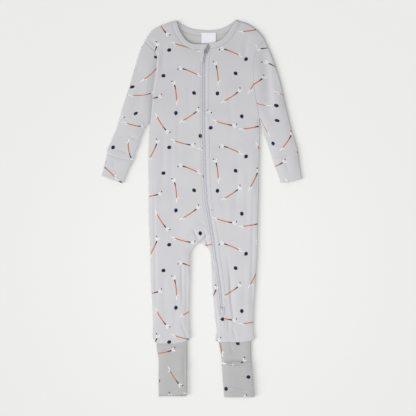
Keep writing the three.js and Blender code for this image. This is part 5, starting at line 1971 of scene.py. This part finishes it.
@dataclass
class Slider:
    """The zip's slider, modelled at the origin and then seated on the zip, and its pull tab.

    Lengths are in millimetres and angles in degrees. The plates are two pairs of a bottom height and
    a thickness. The bridge's feet are sunk into the upper plate and joined to the span. The pull
    tab's steps are drawn out beyond its eye, each a length and the share of the width at its end.
    """

    shop: Workshop
    place: tuple = (8.95, 327)
    lean: float = -8.4
    size: tuple = (5.6, 8.4)
    plates: tuple = ((6.1, 0.9), (2.5, 0.8))
    plate_narrow: float = 0.8
    plate_waist: float = -0.1
    plate_foot: float = -0.4
    post: tuple = (2.4, 2.6)
    post_back: float = 1.7
    bridge: tuple = (1.0, 5.0, 0.8)
    bridge_hole: float = 1.7
    bridge_sunk: tuple = (0.3, 0.1)
    rail: tuple = (0.7, 0.5, 0.9)
    rail_inset: float = 0.15
    rail_forward: float = 0.12
    rail_below: float = 0.3
    corner_round: float = 0.9
    rim_round: float = 0.22
    block_rounds: tuple = (0.15, 0.18, 0.28, 0.12)
    sharp: float = 35
    block_sharp: float = 30
    pull_sharp: float = 25
    smooth_below: float = 40
    pull_lean: float = -26
    pull_droop: float = 1.5
    pull_wide: float = 4.9
    pull_thick: float = 1.0
    pull_back: float = 0.5
    pull_eye_end: float = 4.5
    pull_rim: float = 0.9
    pull_steps: tuple = ((2.0, 3.4 / 4.9), (7.7, 1.0), (0.9, 0.78))
    pull_rounds: tuple = (0.5, 0.25)

    @staticmethod
    def _box(size: Sequence[float], place: Sequence[float]) -> bpy.types.Object:
        """A box of a size in millimetres, with its middle at a place."""
        remove_extras()
        bpy.ops.mesh.primitive_cube_add(size=1, location=[value * MM for value in place],
                                        scale=[value * MM for value in size])
        bpy.ops.object.transform_apply(location=True, rotation=False, scale=True)
        return bpy.context.object

    @staticmethod
    def _round_upright(piece: bpy.types.Object, width: float, angle: float, segments: int = 3) -> None:
        """Round the corner edges along Z that are sharper than an angle in degrees."""
        steepness = 0.8
        make_active(piece)
        bpy.ops.object.mode_set(mode="EDIT")
        shape = bmesh.from_edit_mesh(piece.data)
        for edge in shape.edges:
            way = edge.verts[1].co - edge.verts[0].co
            sharp = edge.calc_face_angle(0) > math.radians(angle)
            edge.select_set(sharp and abs(way.z) > steepness * way.length)
        bmesh.update_edit_mesh(piece.data)
        bpy.ops.mesh.bevel(offset=width * MM, segments=segments, affect="EDGES")
        bpy.ops.object.mode_set(mode="OBJECT")

    @staticmethod
    def _round_sharp(piece: bpy.types.Object, width: float, angle: float, segments: int = 2) -> None:
        """Round every edge that is sharper than an angle in degrees."""
        make_active(piece)
        bpy.ops.object.modifier_apply(modifier=add_bevel(piece, width, segments, angle).name)

    def _plate(self, z: float, thick: float) -> bpy.types.Object:
        """A slider plate, drawn in towards its foot, with its rims rounded."""
        wide, long = self.size
        plate = self._box((wide, long, thick), (0, 0, z + thick / 2))
        bpy.ops.object.mode_set(mode="EDIT")
        bpy.ops.mesh.select_all(action="SELECT")
        bpy.ops.mesh.bisect(plane_co=(0, self.plate_waist * long * MM, 0), plane_no=(0, 1, 0))
        bpy.ops.mesh.select_all(action="DESELECT")
        bpy.ops.object.mode_set(mode="OBJECT")
        for vertex in plate.data.vertices:
            vertex.select = vertex.co.y < self.plate_foot * long * MM
        bpy.ops.object.mode_set(mode="EDIT")
        bpy.ops.transform.resize(value=(self.plate_narrow, 1, 1), center_override=(0, 0, 0))
        bpy.ops.mesh.select_all(action="DESELECT")
        bpy.ops.object.mode_set(mode="OBJECT")
        self._round_upright(plate, self.corner_round, self.sharp)
        self._round_sharp(plate, self.rim_round, self.sharp)
        return plate

    def _block(self, size: Sequence[float], place: Sequence[float], rounding: float) -> bpy.types.Object:
        """A small block with rounded edges."""
        block = self._box(size, place)
        self._round_sharp(block, rounding, self.block_sharp)
        return block

    def _seat(self, piece: bpy.types.Object, name: str, lean: float, droop: float, z: float) -> None:
        """Name a piece modelled at the origin, and turn and move it to its place on the zip."""
        make_active(piece)
        piece.name = name
        piece.rotation_euler = (math.radians(-droop), 0, math.radians(lean))
        piece.location = (self.place[0] * MM, self.place[1] * MM, z * MM)
        bpy.ops.object.transform_apply(location=True, rotation=True, scale=True)
        bpy.ops.object.shade_smooth_by_angle(angle=math.radians(self.smooth_below))

    def slider(self) -> None:
        """Two plates on a post, side rails, and the bridge that holds the pull tab."""
        wide, long = self.size
        bridge_wide, bridge_long, bridge_thick = self.bridge
        hole = self.bridge_hole
        sunk, joined = self.bridge_sunk
        rail, rail_share, rail_high = self.rail
        (upper, upper_thick), (lower, _) = self.plates
        top = upper + upper_thick
        post_round, foot_round, span_round, rail_round = self.block_rounds
        parts = [self._plate(*plate) for plate in self.plates]
        parts.append(self._block((*self.post, upper - lower),
                                 (0, long / 2 - self.post_back, (upper + lower) / 2), post_round))
        for end in (-1, 1):
            foot_y = end * (bridge_long - bridge_thick) / 2
            parts.append(self._block((bridge_wide, bridge_thick, hole + sunk + joined),
                                     (0, foot_y, top + (hole + joined - sunk) / 2), foot_round))
        parts.append(self._block(self.bridge, (0, 0, top + hole + bridge_thick / 2), span_round))
        for end in (-1, 1):
            place = (end * (wide / 2 - rail / 2 - self.rail_inset), long * self.rail_forward,
                     upper - self.rail_below)
            parts.append(self._block((rail, long * rail_share, rail_high), place, rail_round))
        remove_extras()
        for part in parts:
            part.select_set(True)
        bpy.context.view_layer.objects.active = parts[0]
        bpy.ops.object.join()
        piece = bpy.context.object
        self._seat(piece, "slider_body", self.lean, 0, 0)
        self.shop.hand_in(piece, "zip_enamel", "zip_enamel", ["zip_slider"])

    def pull_tab(self) -> None:
        """The pull tab: an eye round the bridge, a waist and a flat tongue."""
        end = self.pull_eye_end
        reach = 0.05
        remove_extras()
        bpy.ops.mesh.primitive_plane_add(size=1, location=(0, (end - self.pull_back) / 2 * MM, 0))
        piece = bpy.context.object
        piece.scale = (self.pull_wide * MM, (end + self.pull_back) * MM, 1)
        bpy.ops.object.transform_apply(location=True, rotation=False, scale=True)
        bpy.ops.object.mode_set(mode="EDIT")
        bpy.ops.mesh.select_mode(type="FACE")
        bpy.ops.mesh.select_all(action="SELECT")
        bpy.ops.mesh.inset(thickness=self.pull_rim * MM)
        bpy.ops.mesh.delete(type="FACE")
        bpy.ops.mesh.select_mode(type="EDGE")
        for long, width in self.pull_steps:
            bpy.ops.mesh.select_all(action="DESELECT")
            shape = bmesh.from_edit_mesh(piece.data)
            for edge in shape.edges:
                edge.select_set(all(vertex.co.y > (end - reach) * MM for vertex in edge.verts))
            bmesh.update_edit_mesh(piece.data)
            bpy.ops.mesh.extrude_region_move(TRANSFORM_OT_translate={"value": (0, long * MM, 0)})
            bpy.ops.transform.resize(value=(width, 1, 1), center_override=(0, 0, 0))
            end += long
        bpy.ops.object.mode_set(mode="OBJECT")
        add_wall(piece, self.pull_thick, 0)
        apply_modifiers(piece)
        self._round_upright(piece, self.pull_rounds[0], self.pull_sharp)
        self._round_sharp(piece, self.pull_rounds[1], self.sharp)
        hinge = sum(self.plates[0]) + self.bridge_hole / 2
        self._seat(piece, "pull_tab_body", self.pull_lean, self.pull_droop, hinge)
        self.shop.hand_in(piece, "zip_enamel", "zip_enamel", ["zip_pull_tab"], Body.PULL_TAB)

    def build(self) -> None:
        """Build the slider and its pull tab."""
        self.slider()
        self.pull_tab()


@dataclass
class Sewing:
    """Rows of topstitching, each a run of small raised stitches."""

    shop: Workshop
    long: float = 2.5
    pitch: float = 3.1
    wide: float = 0.55
    high: float = 0.5
    raised: float = 0.2
    probe: float = 1.0
    facets: tuple = (6, 4)

    def _template(self) -> Template:
        """One stitch."""
        segments, rings = self.facets
        remove_extras()
        bpy.ops.mesh.primitive_uv_sphere_add(segments=segments, ring_count=rings, radius=0.5 * MM,
                                             rotation=(0, math.pi / 2, 0))
        stitch = bpy.context.object
        bpy.ops.object.transform_apply(location=False, rotation=True, scale=False)
        stitch.scale = (self.long, self.wide, self.high)
        bpy.ops.object.transform_apply(location=False, rotation=False, scale=True)
        return Template.of_object(stitch)

    def _row(self, stitch: Template, name: str, lines: Sequence[np.ndarray]) -> None:
        """Stitches along lines of the page, lying on the front's face."""
        middles = []
        ways = []
        for line in lines:
            path = Curve(line, smooth=False)
            count = max(2, int(path.length / self.pitch))
            t = (np.arange(count) + 0.5) / count
            flat = path(t)
            way = path.way(t)
            before, here, after = (self.shop.lie.top(*(flat + way * step).T)
                                   for step in (-self.probe, 0, self.probe))
            middles.append(with_height(flat, here + self.raised))
            ways.append(with_height(way, (after - before) / (2 * self.probe)))
        self.shop.hand_in(stitch.copies(name, middles, ways), "sewing_thread", "printed_knit", [])

    def build(self) -> None:
        """Sew every visible row."""
        stitch = self._template()
        lie = self.shop.lie
        for name, lines in (("stitches_beside_zip", lie.zip_rows), ("stitches_at_zip_end", lie.box_rows),
                            ("stitches_below_binding", lie.neck_rows)):
            self._row(stitch, name, lines)


@dataclass
class Studio:
    """Plain pale floor, soft light, and the camera straight above.

    The view, the sensor and the floor's height are in millimetres, and other lengths in metres.
    """

    view_middle: tuple = (13.2, 0.9)
    view_width: float = 873.6
    camera_height: float = 3.0
    sensor: float = 36.0
    floor_z: float = -0.5
    floor_size: float = 30.0
    floor_color: tuple = srgb(231, 231, 230)
    # Painted light: the floor is lighter towards its edges, where the lamp gives less light.
    floor_edge_painted_light: tuple = srgb(250, 250, 249)
    floor_roughness: float = 0.95
    floor_specular: float = 0.1
    fall_off_reach: float = 0.72
    world_strength: float = 0.445
    lamp_place: tuple = (0.0, -0.12, 0.86)
    lamp_size: float = 0.5
    lamp_power: float = 3.25
    side_from: tuple = (-1.0, -0.3, 0.66)
    side_spread: float = 40.0
    side_strength: float = 1.6

    def camera(self) -> None:
        """A camera that looks straight down at the garment."""
        data = bpy.data.cameras.new("above")
        data.sensor_width = self.sensor
        data.lens = self.sensor * self.camera_height / (self.view_width * MM)
        seen = add_object("above", data)
        seen.location = (self.view_middle[0] * MM, self.view_middle[1] * MM, self.camera_height)
        bpy.context.scene.camera = seen

    def floor(self) -> None:
        """A pale floor just below the garment, painted lighter away from the lamp to make up for the
        lamp's fall-off, so that it looks even.
        """
        remove_extras()
        bpy.ops.mesh.primitive_plane_add(size=self.floor_size, location=(0, 0, self.floor_z * MM))
        plane = bpy.context.object
        plane.name = "floor"
        bpy.ops.object.transform_apply(location=True, rotation=False, scale=True)
        finish = Finish("pale_floor", self.floor_roughness, Specular_IOR_Level=self.floor_specular)
        sketch = finish.sketch
        below_lamp = (self.lamp_place[0] / MM, self.lamp_place[1] / MM, self.floor_z)
        flat = sketch.vector("SUBTRACT", finish.place(), below_lamp)
        gap = sketch.math("DIVIDE", sketch.vector("LENGTH", flat), self.fall_off_reach / MM)
        finish.color(sketch.mix(sketch.math("MULTIPLY", gap, gap), self.floor_color, self.floor_edge_painted_light))
        plane.data.materials.append(finish.material)

    def lights(self) -> None:
        """Soft light from all round, a lamp above the middle, and some light from the left."""
        world = bpy.data.worlds.new("studio")
        world.use_nodes = True
        background = world.node_tree.nodes["Background"].inputs
        background["Color"].default_value = (1, 1, 1, 1)
        background["Strength"].default_value = self.world_strength
        bpy.context.scene.world = world
        data = bpy.data.lights.new("lamp", "AREA")
        data.size = self.lamp_size
        data.energy = self.lamp_power
        add_object("lamp", data).location = self.lamp_place
        data = bpy.data.lights.new("side_light", "SUN")
        data.energy = self.side_strength
        data.angle = math.radians(self.side_spread)
        side_light = add_object("side_light", data)
        side_light.location = self.side_from
        side_light.rotation_euler = side_light.location.to_track_quat("Z", "Y").to_euler()

    def build(self) -> None:
        """Set up the studio."""
        self.camera()
        self.floor()
        self.lights()
        bpy.context.scene.view_settings.view_transform = "Standard"


def main() -> None:
    """Build the studio and every sub-assembly in order."""
    logging.basicConfig(level=logging.INFO, format="%(name)s: %(message)s")
    Studio().build()
    cut = Outline()
    shop = Workshop(cut, Lie(cut), Finishes())
    BodyPanels(shop).build()
    Sleeves(shop).build()
    Feet(shop).build()
    Neckline(shop).build()
    Zip(shop).build()
    Slider(shop).build()
    Sewing(shop).build()
    remove_extras()


if __name__ == "__main__":
    main()
